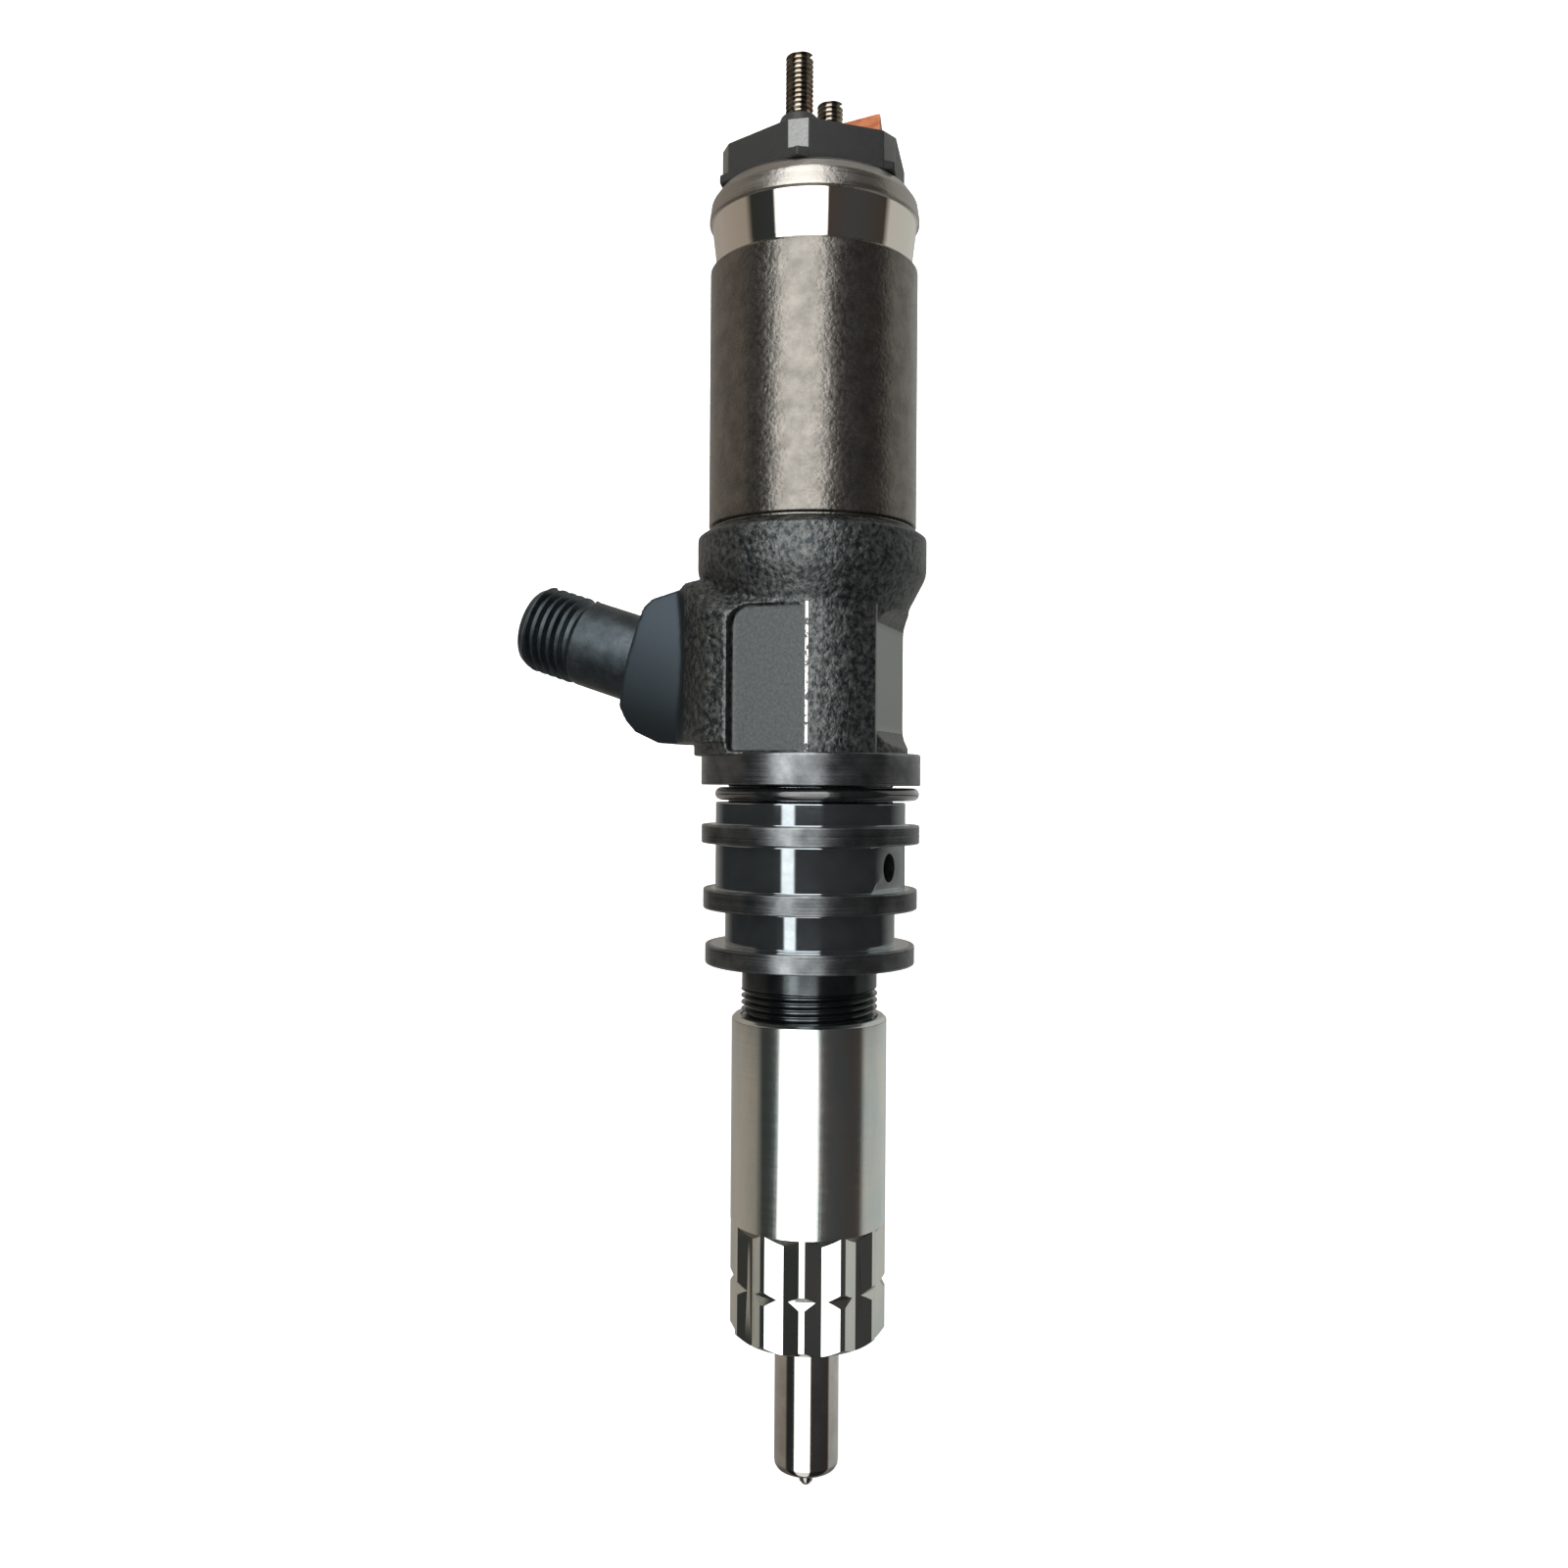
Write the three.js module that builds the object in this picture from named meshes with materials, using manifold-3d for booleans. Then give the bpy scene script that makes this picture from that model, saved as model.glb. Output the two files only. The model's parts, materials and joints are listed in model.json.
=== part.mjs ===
// Common-rail diesel injector with a side inlet and a solenoid valve on top, in millimetres.
// +Z runs along the injector's axis towards its terminals, and -X points to the inlet.
// The origin is the centre of the nozzle nut's lower face, which seats in the cylinder head.
import * as THREE from "three";
import { mergeVertices } from "three/addons/utils/BufferGeometryUtils.js";
import Module from "manifold-3d";

const wasm = await Module();
wasm.setup();

// Fineness and clearances
const SIDES = 28; // of a turned piece
const SMALL_SIDES = 12; // of a pin, a drilling or a thin wire
const SECTION_SIDES = 8; // of a round ring's section
const COIL_STEPS = 12; // of a spring, per turn
const RUN = 0.02; // radial gap of a running fit
const SLIP = 0.05; // radial gap of a pin, a wire or a ring in its hole
const SEAT = 0.01; // gap between faces that move apart in use
const TURNED_GAP = 0.3; // between the tilted inlet and the upright body
const OVERRUN = 4; // how far a cutter runs past the face it opens

// Nozzle
const STEM_R = 4.8;
const STEM_LENGTH = 20.6; // below the nut
const STEM_EDGE = 1.1; // rounding of the stem's lower rim
const NUB_R = 1.05;
const NUB_LENGTH = 2.8;
const SAC_R = 0.5;
const SAC_WALL = 0.6; // under the sac
const SPRAY_R = 0.14;
const SPRAY_COUNT = 6;
const STEM_BORE_R = 2.3;
const SEAT_HALF_ANGLE = THREE.MathUtils.degToRad(30);
const GALLERY_R = 3.3;
const GALLERY_Z = 4.2;
const GALLERY_HEIGHT = 4;
const NOZZLE_HEAD_LENGTH = 18.4; // inside the nut
const NEEDLE_R = 2.0;
const NEEDLE_SHANK_R = 1.6;
const NEEDLE_NECK_R = 1.2;
const NEEDLE_LIFT = 0.3;
const DISTANCE_THICKNESS = 5.5;
const NECK_HOLE_R = 1.5;
const NECK_RISE = 0.5; // of the needle's neck above the distance piece
const DOWEL_R = 0.95;
const DOWEL_MARGIN = 2.7; // from the nozzle's side to a dowel's axis
const DOWEL_DEPTH = 3;

// Nozzle nut
const NUT_R = 11.6;
const NUT_LENGTH = 47.2;
const NUT_FLOOR = 2.6;
const NUT_WALL = 2.3;
const NUT_THREAD_WALL = 1.4;
const NUT_EDGE = 0.7;
const DRIVE_LENGTH = 16.2;
const DRIVE_DEPTH = 1.0; // of the valleys between the twelve points
const DRIVE_TURN = THREE.MathUtils.degToRad(14);
const NUT_GROOVE_Z = 7.8;
const NUT_GROOVE_WIDTH = 1.8;
const NUT_GROOVE_DEPTH = 0.75;

// Lower body, from the nut upwards
const THREAD_SHOWN = 4.1;
const THREAD_PITCH = 1.5;
const THREAD_DEPTH = 0.6;
const NECK_RELIEF = 0.1;
const NECK_LENGTH = 3.6;
const LAND_3_R = 15.65;
const LAND_3_HEIGHT = 2.9;
const GROOVE_3_R = 12.7;
const GROOVE_3_HEIGHT = 5.3;
const LAND_2_R = 16.0;
const LAND_2_HEIGHT = 3.0;
const GROOVE_2_R = 14.2;
const GROOVE_2_HEIGHT = 6.7;
const LAND_1_R = 16.3;
const LAND_1_HEIGHT = 2.8;
const GROOVE_1_R = 14.2;
const GROOVE_1_HEIGHT = 5.8;
const COLLAR_R = 16.4;
const COLLAR_HEIGHT = 4.7;
const LAND_EDGE = 0.35;
const SEAL_SECTION = 1.9; // diameter of the seal in the top groove
const SEAL_SEAT_R = 12.3; // deeper seat for that seal, under the collar
const SEAL_SEAT_HEIGHT = 2.5;
const SEAL_SHIFT = 1.0; // how far the loose seal hangs towards the return port
const PORT_R = 2.1;
const PORT_FLAT_X = 12.8;
const PORT_TURN = THREE.MathUtils.degToRad(8); // of the port from +X towards -Y

// Waist and head
const WAIST_R = 14.5;
const WAIST_HEIGHT = 21.5;
const FLAT_Y = 14.0; // from the axis to each clamp flat
const FLAT_REACH = 7.5; // of a clamp flat towards the inlet, and away from it
const FLAT_END = 5.0;
const FLAT_CORNER_R = 3;
const SIDE_FLAT_X = 12.2;
const FLARE_HEIGHT = 5.6;
const HEAD_R = 17.1;
const HEAD_HEIGHT = 4.8;
const HEAD_CHAMFER = 1.2;

// Inlet boss and connector, along an axis that rises away from the body
const INLET_TILT = THREE.MathUtils.degToRad(18);
const INLET_ABOVE_COLLAR = 5.5; // where the inlet's axis meets the injector's
const BOSS_REACH = 27.4;
const BOSS_HALF_WIDTH = 9.8;
const BOSS_TALL_R = 16.0; // the boss is an oval barrel, taller than it is wide
const BOSS_RAISED = 3.0; // of the barrel above the inlet's axis
const BOSS_BELOW = 4.4; // drop of the boss's underside from the inlet's axis, at the body
const BOSS_FACE_UP = 8.2; // the end face's height above the inlet's axis, and its depth below
const BOSS_FACE_DOWN = 7.1;
const BOSS_SLOPE = 0.8; // length of the end's upper slope along the inlet, and its drop
const BOSS_SLOPE_DROP = 1.6;
const BOSS_BACK = 11.4; // length of the long upper slope, and its drop
const BOSS_BACK_DROP = 8.2;
const BOSS_HEEL = 2.9; // length of the end's lower slope, and its drop
const BOSS_HEEL_DROP = 3.2;
const BOSS_SOLE = 6.0; // length of the nearly level underside
// Half of the boss's broad root, as distances towards the inlet and out to the side
const ROOT_PLAN = [
  [0, 14.4],
  [5, 15.6],
  [8, 15.9],
  [11, 15.2],
  [13.6, 13.3],
  [16, 10.8],
  [18, 8.4],
  [19, 6.5],
];
const ROOT_FOOT_R = 17.6; // of the part of it that stands on the collar
const ROOT_CROWN_R = 19.4; // rounding of its top, from side to side
const ROOT_CROWN_HEIGHT = 22.4; // of that rounding above the inlet
const CONNECTOR_R = 6.85;
const CONNECTOR_SPIGOT_R = 5.5;
const CONNECTOR_SPIGOT_LENGTH = 9.5;
const CONNECTOR_SHANK = 11.7;
const CONNECTOR_THREAD = 7.8;
const CONNECTOR_CHAMFER = 1.3;
const CONNECTOR_NOSE_R = 6.1;
const CONNECTOR_BORE_R = 2.2;
const CONNECTOR_CONE_R = 4.6;
const INLET_THREAD_DEPTH = 0.75;
const GASKET_THICKNESS = 1;
const FILTER_LENGTH = 11;
const FILTER_WALL = 0.7;
const FILTER_SETBACK = 6; // from the connector's end to the filter

// Drillings
const FEED_R = 1.0;
const FEED_MARGIN = 2.4; // from the nozzle's side to the feed's axis
const INLET_PASSAGE_R = 1.6;
const RETURN_R = 1.0;
const RETURN_WALL = 1.4; // between the return drilling and the valve's well

// Needle spring
const SPRING_CHAMBER_R = 4.6;
const SPRING_CHAMBER_LENGTH = 24;
const SPRING_SHIM_THICKNESS = 1.5;
const PIN_HEAD_R = 4.2;
const PIN_HEAD_LENGTH = 2;
const PIN_STEM_R = 1.9;
const NEEDLE_SPRING_R = 3.4; // to the wire's centre
const NEEDLE_SPRING_WIRE_R = 0.7;
const NEEDLE_SPRING_TURNS = 7;

// Control valve
const PISTON_R = 2.1;
const PISTON_PASSAGE_GAP = 0.4;
const SPIGOT_LENGTH = 13;
const WELL_DEPTH = 21;
const VALVE_R = 8.0;
const VALVE_LENGTH = 11;
const CHAMBER_HEIGHT = 3; // from the chamber's roof to the valve body's top
const CHAMBER_GAP = 0.8; // above the piston
const ORIFICE_R = 0.3;
const ORIFICE_THICKNESS = 2.5;
const BALL_R = 0.75;
const BALL_SEAT_R = 0.62;
const RETAINER_THICKNESS = 4;
const GUIDE_FLANGE = 2;
const GUIDE_TUBE_R = 4.3;
const GUIDE_TUBE_LENGTH = 2.4;
const ARMATURE_STEM_R = 2.0;
const ARMATURE_R = 10;
const ARMATURE_PLATE = 2;
const ARMATURE_RISE = 0.8; // of the plate above the spigot
const AIR_GAP = 0.11;
const SHIM_WALL = 2.2;

// Solenoid
const HOUSING_R = 15.5;
const HOUSING_WALL = 2.2;
const HOUSING_LENGTH = 39;
const SPIGOT_SEAL_SECTION = 1.9;
const SPIGOT_SEAL_RISE = 3.4;
const CORE_ROOF = 5; // above the coil's pocket
const COIL_POCKET_IN_R = 6.2;
const COIL_POCKET_OUT_R = 10.7;
const BOBBIN_WALL = 0.8;
const COIL_R = 10.2;
const LEAD_R = 0.5;
const VALVE_SPRING_R = 2.1;
const VALVE_SPRING_WIRE_R = 0.45;
const VALVE_SPRING_TURNS = 6;
const VALVE_SPRING_GAP = 0.45; // round the spring in the core's bore
const SPRING_PLUG_LENGTH = 7;
const SPRING_PLUG_BORE_R = 1.0;

// Retaining ring and cap
const RIM_WALL = 1.1; // of the housing's thinned top inside the ring
const RIM_HEIGHT = 4.6;
const BAND_HEIGHT = 6.7;
const BAND_FOOT_INSET = 0.9;
const BAND_TOP_INSET = 0.1;
const BAND_LIP = 0.2;
const SHOULDER_HEIGHT = 4.6;
const SHOULDER_INSET = 1.8;
const CAP_NECK_R = 11.4;
const CAP_SEAT_DEPTH = 5.1; // of the cap's foot below the housing's shoulder
const CAP_WALL = 0.7; // inside the cap's seal groove
const CAP_CAVITY_HEIGHT = 6.8;
const CAP_SEAL_SECTION = 1.9;
const CAP_SEAL_RISE = 2.7;
const CAP_CORNER_R = 14.87;
const CAP_TURN = THREE.MathUtils.degToRad(-82); // of one corner from +X
const CAP_HEIGHT = 5.5;
const CAP_FACET = 3.0; // width of the flat across each corner
const CAP_FACET_HEIGHT = 4.2;
const STUD_R = 2.0;
const STUD_SPACING = 15;
const STUD_RISE = 12.1;
const STUD_HEAD_R = 3.0;
const STUD_HEAD_THICKNESS = 2;
const STUD_COLLAR_FOOT_R = 3.6;
const STUD_COLLAR_TOP_R = 2.7;
const STUD_COLLAR_HEIGHT = 3.0;
const RESIN_HEIGHT = 3.3;
// Corners of the resin block, seen from above
const RESIN_CORNERS = [
  [1.2, -3.2],
  [11.5, -5.2],
  [9.9, 2.8],
  [1.2, 3.4],
];

// Heights that follow from the sizes
const nozzleTop = NUT_FLOOR + NOZZLE_HEAD_LENGTH;
const bodyFoot = nozzleTop + DISTANCE_THICKNESS;
const threadEnd = NUT_LENGTH + THREAD_SHOWN;
const land3 = threadEnd + NECK_LENGTH;
const groove3 = land3 + LAND_3_HEIGHT;
const land2 = groove3 + GROOVE_3_HEIGHT;
const groove2 = land2 + LAND_2_HEIGHT;
const land1 = groove2 + GROOVE_2_HEIGHT;
const groove1 = land1 + LAND_1_HEIGHT;
const collar = groove1 + GROOVE_1_HEIGHT;
const waist = collar + COLLAR_HEIGHT;
const flare = waist + WAIST_HEIGHT;
const head = flare + FLARE_HEIGHT;
const headTop = head + HEAD_HEIGHT + HEAD_CHAMFER;
const spigotTop = headTop + SPIGOT_LENGTH;
const wellFloor = spigotTop - WELL_DEPTH;
const orificeFoot = wellFloor + VALVE_LENGTH;
const retainerFoot = orificeFoot + ORIFICE_THICKNESS;
const guideFoot = retainerFoot + RETAINER_THICKNESS;
const armatureFoot = spigotTop + ARMATURE_RISE;
const armatureTop = armatureFoot + ARMATURE_PLATE;
const coreFoot = armatureTop + AIR_GAP;
const housingTop = headTop + HOUSING_LENGTH;
const coreTop = housingTop - CAP_SEAT_DEPTH;
const pocketRoof = coreTop - CORE_ROOF;
const plugFoot = coreTop - SPRING_PLUG_LENGTH;
const rimTop = housingTop + RIM_HEIGHT;
const bandTop = housingTop + BAND_HEIGHT;
const capFoot = bandTop + SHOULDER_HEIGHT;
const capTop = capFoot + CAP_HEIGHT;
const springRoof = bodyFoot + SPRING_CHAMBER_LENGTH;
const pinFoot = bodyFoot + NECK_RISE + SEAT;
const pinTop = springRoof + SPRING_SHIM_THICKNESS;
const chamberRoof = orificeFoot - CHAMBER_HEIGHT;
const pistonTop = chamberRoof - CHAMBER_GAP;
const ballCentre = retainerFoot + BALL_R * Math.SQRT2 - BALL_SEAT_R + SEAT;
const inletHeight = waist + INLET_ABOVE_COLLAR;
const portHeight = groove2 + GROOVE_2_HEIGHT / 2;

// Radii and offsets that follow from the sizes
const nutBore = NUT_R - NUT_WALL;
const threadR = NUT_R - NUT_THREAD_WALL;
const dowelOffset = nutBore - DOWEL_MARGIN;
const feedOffset = nutBore - FEED_MARGIN;
const returnOffset = VALVE_R + RETURN_WALL + RETURN_R;
const housingBore = HOUSING_R - HOUSING_WALL;
const coreBore = VALVE_SPRING_R + VALVE_SPRING_WIRE_R + VALVE_SPRING_GAP;
const coilInnerR = COIL_POCKET_IN_R + BOBBIN_WALL;
const leadOffset = (coilInnerR + COIL_R) / 2;

// ---- Geometry helpers ----

// A closed outline of [radius, height] points turned about Z.
function turned(outline, sides = SIDES) {
  const points = outline.map(([r, z]) => new THREE.Vector2(r, z));
  if (!THREE.ShapeUtils.isClockWise(points)) points.reverse();
  points.reverse();
  points.push(points[0].clone());
  return new THREE.LatheGeometry(points, sides).rotateX(Math.PI / 2);
}

// A plain tube or disc between two heights; a hole of radius 0 leaves it solid.
function tube(hole, radius, low, high, sides = SIDES) {
  return turned([[hole, low], [radius, low], [radius, high], [hole, high]], sides);
}

// A round bar from one point to another.
function bar(from, to, radius, sides = SMALL_SIDES) {
  const start = new THREE.Vector3(...from);
  const run = new THREE.Vector3(...to).sub(start);
  const turn = new THREE.Quaternion().setFromUnitVectors(
    new THREE.Vector3(0, 0, 1),
    run.clone().normalize(),
  );
  return tube(0, radius, 0, run.length(), sides)
    .applyQuaternion(turn)
    .translate(...from);
}

// Points of a circular arc in the radius-height plane, angles in degrees from the radius direction.
function arc(r, z, radius, from, to, steps) {
  return Array.from({ length: steps + 1 }, (_, i) => {
    const angle = THREE.MathUtils.degToRad(from + ((to - from) * i) / steps);
    return [r + radius * Math.cos(angle), z + radius * Math.sin(angle)];
  });
}

// A ring of round section.
function torus(middle, sectionR, z) {
  return turned(arc(middle, z, sectionR, 0, 360, SECTION_SIDES).slice(1));
}

// V grooves of one pitch each on a turned outline, going up from a height.
function threadOutline(radius, depth, pitch, low, high) {
  const count = Math.floor((high - low) / pitch);
  return Array.from({ length: count }, (_, i) => [
    [radius, low + (i + 0.15) * pitch],
    [radius - depth, low + (i + 0.5) * pitch],
    [radius, low + (i + 0.85) * pitch],
  ]).flat();
}

class Helix extends THREE.Curve {
  constructor(radius, low, high, turns) {
    super();
    Object.assign(this, { radius, low, high, turns });
  }
  getPoint(t, target = new THREE.Vector3()) {
    const angle = 2 * Math.PI * this.turns * t;
    const z = this.low + (this.high - this.low) * t;
    return target.set(this.radius * Math.cos(angle), this.radius * Math.sin(angle), z);
  }
}

// A compression spring whose wire just clears the faces it stands between.
function spring(radius, wireR, low, high, turns) {
  const section = new THREE.Shape().absarc(0, 0, wireR, 0, 2 * Math.PI);
  const path = new Helix(radius, low + wireR + SLIP, high - wireR - SLIP, turns);
  return new THREE.ExtrudeGeometry(section, {
    steps: turns * COIL_STEPS,
    curveSegments: 3,
    extrudePath: path,
  });
}

// A flat outline drawn in X and Z, given a thickness in Y between two places.
function slab(shape, near, far, bevel = {}) {
  const options = { depth: far - near, bevelEnabled: false, curveSegments: 6, ...bevel };
  return new THREE.ExtrudeGeometry(shape, options)
    .rotateX(Math.PI / 2)
    .translate(0, far, 0);
}

// A rectangle with rounded corners, as a Shape.
function roundedRectangle(x0, y0, x1, y1, corner) {
  const shape = new THREE.Shape();
  shape.absarc(x1 - corner, y0 + corner, corner, -Math.PI / 2, 0);
  shape.absarc(x1 - corner, y1 - corner, corner, 0, Math.PI / 2);
  shape.absarc(x0 + corner, y1 - corner, corner, Math.PI / 2, Math.PI);
  shape.absarc(x0 + corner, y0 + corner, corner, Math.PI, 1.5 * Math.PI);
  return shape;
}

function toSolid(geometry) {
  const bare = new THREE.BufferGeometry().setAttribute("position", geometry.getAttribute("position"));
  const merged = mergeVertices(geometry.index ? bare.setIndex(geometry.index) : bare, 1e-4);
  return new wasm.Manifold(
    new wasm.Mesh({
      numProp: 3,
      vertProperties: new Float32Array(merged.getAttribute("position").array),
      triVerts: new Uint32Array(merged.index.array),
    }),
  );
}

function toGeometry(solid) {
  const { vertProperties, triVerts } = solid.getMesh();
  return new THREE.BufferGeometry()
    .setAttribute("position", new THREE.BufferAttribute(new Float32Array(vertProperties), 3))
    .setIndex(new THREE.BufferAttribute(new Uint32Array(triVerts), 1));
}

function cut(blank, ...tools) {
  return toGeometry(tools.reduce((solid, tool) => solid.subtract(toSolid(tool)), toSolid(blank)));
}

function join(...blanks) {
  const [first, ...others] = blanks.map(toSolid);
  return toGeometry(others.reduce((solid, other) => solid.add(other), first));
}

function common(first, second) {
  return toGeometry(toSolid(first).intersect(toSolid(second)));
}

// Moves a shape drawn upright about Z onto the tilted inlet axis.
function alongInlet(geometry) {
  return geometry.rotateY(INLET_TILT - Math.PI / 2).translate(0, 0, inletHeight);
}

function steel(color, roughness, metalness = 0.9) {
  return new THREE.MeshStandardMaterial({ color, roughness, metalness, flatShading: true });
}

function resin(color, roughness) {
  return new THREE.MeshStandardMaterial({ color, roughness, metalness: 0, flatShading: true });
}

function piece(name, geometry, material) {
  const mesh = new THREE.Mesh(geometry, material);
  mesh.name = name;
  return mesh;
}

// ---- Body ----

// Right-hand outline of the body from its foot to the spigot's top.
function bodyOuterOutline() {
  const e = LAND_EDGE;
  const land = (r, low, high) => [[r - e, low], [r, low + e], [r, high - e], [r - e, high]];
  const sealZ = headTop + SPIGOT_SEAL_RISE;
  const spigotR = housingBore - RUN;
  const sealFloorR = spigotR - SPIGOT_SEAL_SECTION;
  const sealHalf = SPIGOT_SEAL_SECTION / 2 + SLIP;
  return [
    [threadR, bodyFoot],
    ...threadOutline(threadR, THREAD_DEPTH, THREAD_PITCH, NUT_LENGTH + SLIP, threadEnd),
    [threadR - NECK_RELIEF, threadEnd],
    [threadR - NECK_RELIEF, land3],
    ...land(LAND_3_R, land3, groove3),
    [GROOVE_3_R, groove3],
    [GROOVE_3_R, land2],
    ...land(LAND_2_R, land2, groove2),
    [GROOVE_2_R, groove2],
    [GROOVE_2_R, land1],
    ...land(LAND_1_R, land1, groove1),
    [GROOVE_1_R, groove1],
    [GROOVE_1_R, collar - SEAL_SEAT_HEIGHT],
    [SEAL_SEAT_R, collar - SEAL_SEAT_HEIGHT],
    [SEAL_SEAT_R, collar],
    ...land(COLLAR_R, collar, waist),
    [WAIST_R, waist],
    [WAIST_R, flare],
    ...flareCurve(),
    [HEAD_R, headTop - HEAD_CHAMFER],
    [HOUSING_R, headTop],
    [spigotR, headTop],
    [spigotR, sealZ - sealHalf],
    [sealFloorR, sealZ - sealHalf],
    [sealFloorR, sealZ + sealHalf],
    [spigotR, sealZ + sealHalf],
    [spigotR, spigotTop],
  ];
}

// The head's underside swells out of the waist and turns up into the head's side.
function flareCurve() {
  const steps = 5;
  return Array.from({ length: steps }, (_, i) => {
    const t = (i + 1) / steps;
    const swell = Math.sin((t * Math.PI) / 2);
    return [WAIST_R + (HEAD_R - WAIST_R) * swell, flare + FLARE_HEIGHT * t];
  });
}

// The bores on the axis, from the well at the top down to the spring chamber.
function bodyBoreOutline() {
  return [
    [VALVE_R, spigotTop],
    [VALVE_R, wellFloor],
    [PISTON_R + PISTON_PASSAGE_GAP, wellFloor],
    [PISTON_R + PISTON_PASSAGE_GAP, springRoof + SPRING_SHIM_THICKNESS],
    [SPRING_CHAMBER_R, springRoof + SPRING_SHIM_THICKNESS],
    [SPRING_CHAMBER_R, bodyFoot],
  ];
}

// Side view of the boss: a flat end square to the inlet, two slopes above it and a heel below.
function bossShape() {
  const along = (s, off) => [
    -(s * Math.cos(INLET_TILT) - off * Math.sin(INLET_TILT)),
    inletHeight + s * Math.sin(INLET_TILT) + off * Math.cos(INLET_TILT),
  ];
  const slopeTop = BOSS_FACE_UP + BOSS_SLOPE_DROP;
  const heel = -BOSS_FACE_DOWN - BOSS_HEEL_DROP;
  const shoulder = BOSS_REACH - BOSS_SLOPE - BOSS_BACK;
  return new THREE.Shape(
    [
      [0, inletHeight - BOSS_BELOW],
      along(BOSS_REACH - BOSS_HEEL - BOSS_SOLE, heel),
      along(BOSS_REACH - BOSS_HEEL, heel),
      along(BOSS_REACH, -BOSS_FACE_DOWN),
      along(BOSS_REACH, BOSS_FACE_UP),
      along(BOSS_REACH - BOSS_SLOPE, slopeTop),
      along(shoulder, slopeTop + BOSS_BACK_DROP),
      [0, head],
    ].map(([x, z]) => new THREE.Vector2(x, z)),
  );
}

function boss() {
  const upright = tube(0, BOSS_HALF_WIDTH, 0, BOSS_REACH + OVERRUN);
  const oval = upright.scale(BOSS_TALL_R / BOSS_HALF_WIDTH, 1, 1).translate(BOSS_RAISED, 0, 0);
  const barrel = alongInlet(oval);
  return common(slab(bossShape(), -BOSS_HALF_WIDTH, BOSS_HALF_WIDTH), barrel);
}

// Drillings for fuel, the counterbore for the inlet and the holes for the dowels.
function bodyDrillings() {
  const spigotFloor = BOSS_REACH - CONNECTOR_SPIGOT_LENGTH - GASKET_THICKNESS - 2 * TURNED_GAP;
  const passageEnd = (feedOffset - FEED_R) / Math.cos(INLET_TILT);
  const feedTop = [-feedOffset, 0, inletHeight + feedOffset * Math.tan(INLET_TILT)];
  const valveFeedOffset = VALVE_R - 2 * FEED_R;
  const dowel = (y) =>
    bar([0, y, bodyFoot - OVERRUN], [0, y, bodyFoot + DOWEL_DEPTH], DOWEL_R + SLIP);
  return [
    bar([-feedOffset, 0, bodyFoot - OVERRUN], feedTop, FEED_R),
    bar(feedTop, [-valveFeedOffset, 0, wellFloor + SLIP], FEED_R),
    bar([returnOffset, 0, portHeight], [returnOffset, 0, spigotTop + OVERRUN], RETURN_R),
    bar([0, 0, portHeight], [GROOVE_2_R + OVERRUN, 0, portHeight], PORT_R).rotateZ(-PORT_TURN),
    alongInlet(
      tube(0, CONNECTOR_SPIGOT_R + TURNED_GAP, spigotFloor, BOSS_REACH + OVERRUN),
    ),
    alongInlet(tube(0, INLET_PASSAGE_R, passageEnd, spigotFloor + SLIP, SMALL_SIDES)),
    dowel(-dowelOffset),
    dowel(dowelOffset),
  ];
}

// Side view of a clamp flat: square at the collar and rounded at both top corners.
function clampFlatShape() {
  const corner = FLAT_CORNER_R;
  const shape = new THREE.Shape().moveTo(FLAT_END, waist);
  shape.absarc(FLAT_END - corner, flare - corner, corner, 0, Math.PI / 2);
  shape.absarc(corner - FLAT_REACH, flare - corner, corner, Math.PI / 2, Math.PI);
  return shape.lineTo(-FLAT_REACH, waist);
}

// The two clamp flats, the flat on the return side and the flat round the return port.
function bodyFlats() {
  const reach = COLLAR_R + OVERRUN;
  const corner = FLAT_CORNER_R;
  const side = roundedRectangle(SIDE_FLAT_X, waist, reach + corner, flare, corner);
  const port = roundedRectangle(PORT_FLAT_X, groove2, reach, land1, SLIP);
  return [
    slab(clampFlatShape(), -reach, -FLAT_Y),
    slab(clampFlatShape(), FLAT_Y, reach),
    slab(side, -reach, reach),
    slab(port, -reach, reach).rotateZ(-PORT_TURN),
  ];
}

// The broad root that joins the boss to the waist and stands on the collar.
function bossRoot() {
  const nearSide = ROOT_PLAN.map(([along, aside]) => new THREE.Vector2(-along, -aside));
  const farSide = ROOT_PLAN.map(([along, aside]) => new THREE.Vector2(-along, aside)).reverse();
  const plan = new THREE.Shape([...nearSide, ...farSide]);
  const block = new THREE.ExtrudeGeometry(plan, { depth: head - collar, bevelEnabled: false });
  block.translate(0, 0, collar);
  const crown = tube(0, ROOT_CROWN_R, -WAIST_R, BOSS_REACH, 2 * SIDES)
    .rotateY(-Math.PI / 2)
    .translate(0, 0, inletHeight + ROOT_CROWN_HEIGHT - ROOT_CROWN_R);
  const upper = common(common(block, crown), slab(bossShape(), -COLLAR_R, COLLAR_R));
  return join(upper, common(block, tube(0, ROOT_FOOT_R, waist - SLIP, inletHeight)));
}

function injectorBody() {
  const core = turned([...bodyOuterOutline(), ...bodyBoreOutline()]);
  const clearCentre = tube(0, VALVE_R + HOUSING_WALL, collar, headTop);
  const shell = join(core, cut(join(boss(), bossRoot()), clearCentre));
  return cut(shell, ...bodyFlats(), ...bodyDrillings());
}

// ---- Inlet ----

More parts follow.
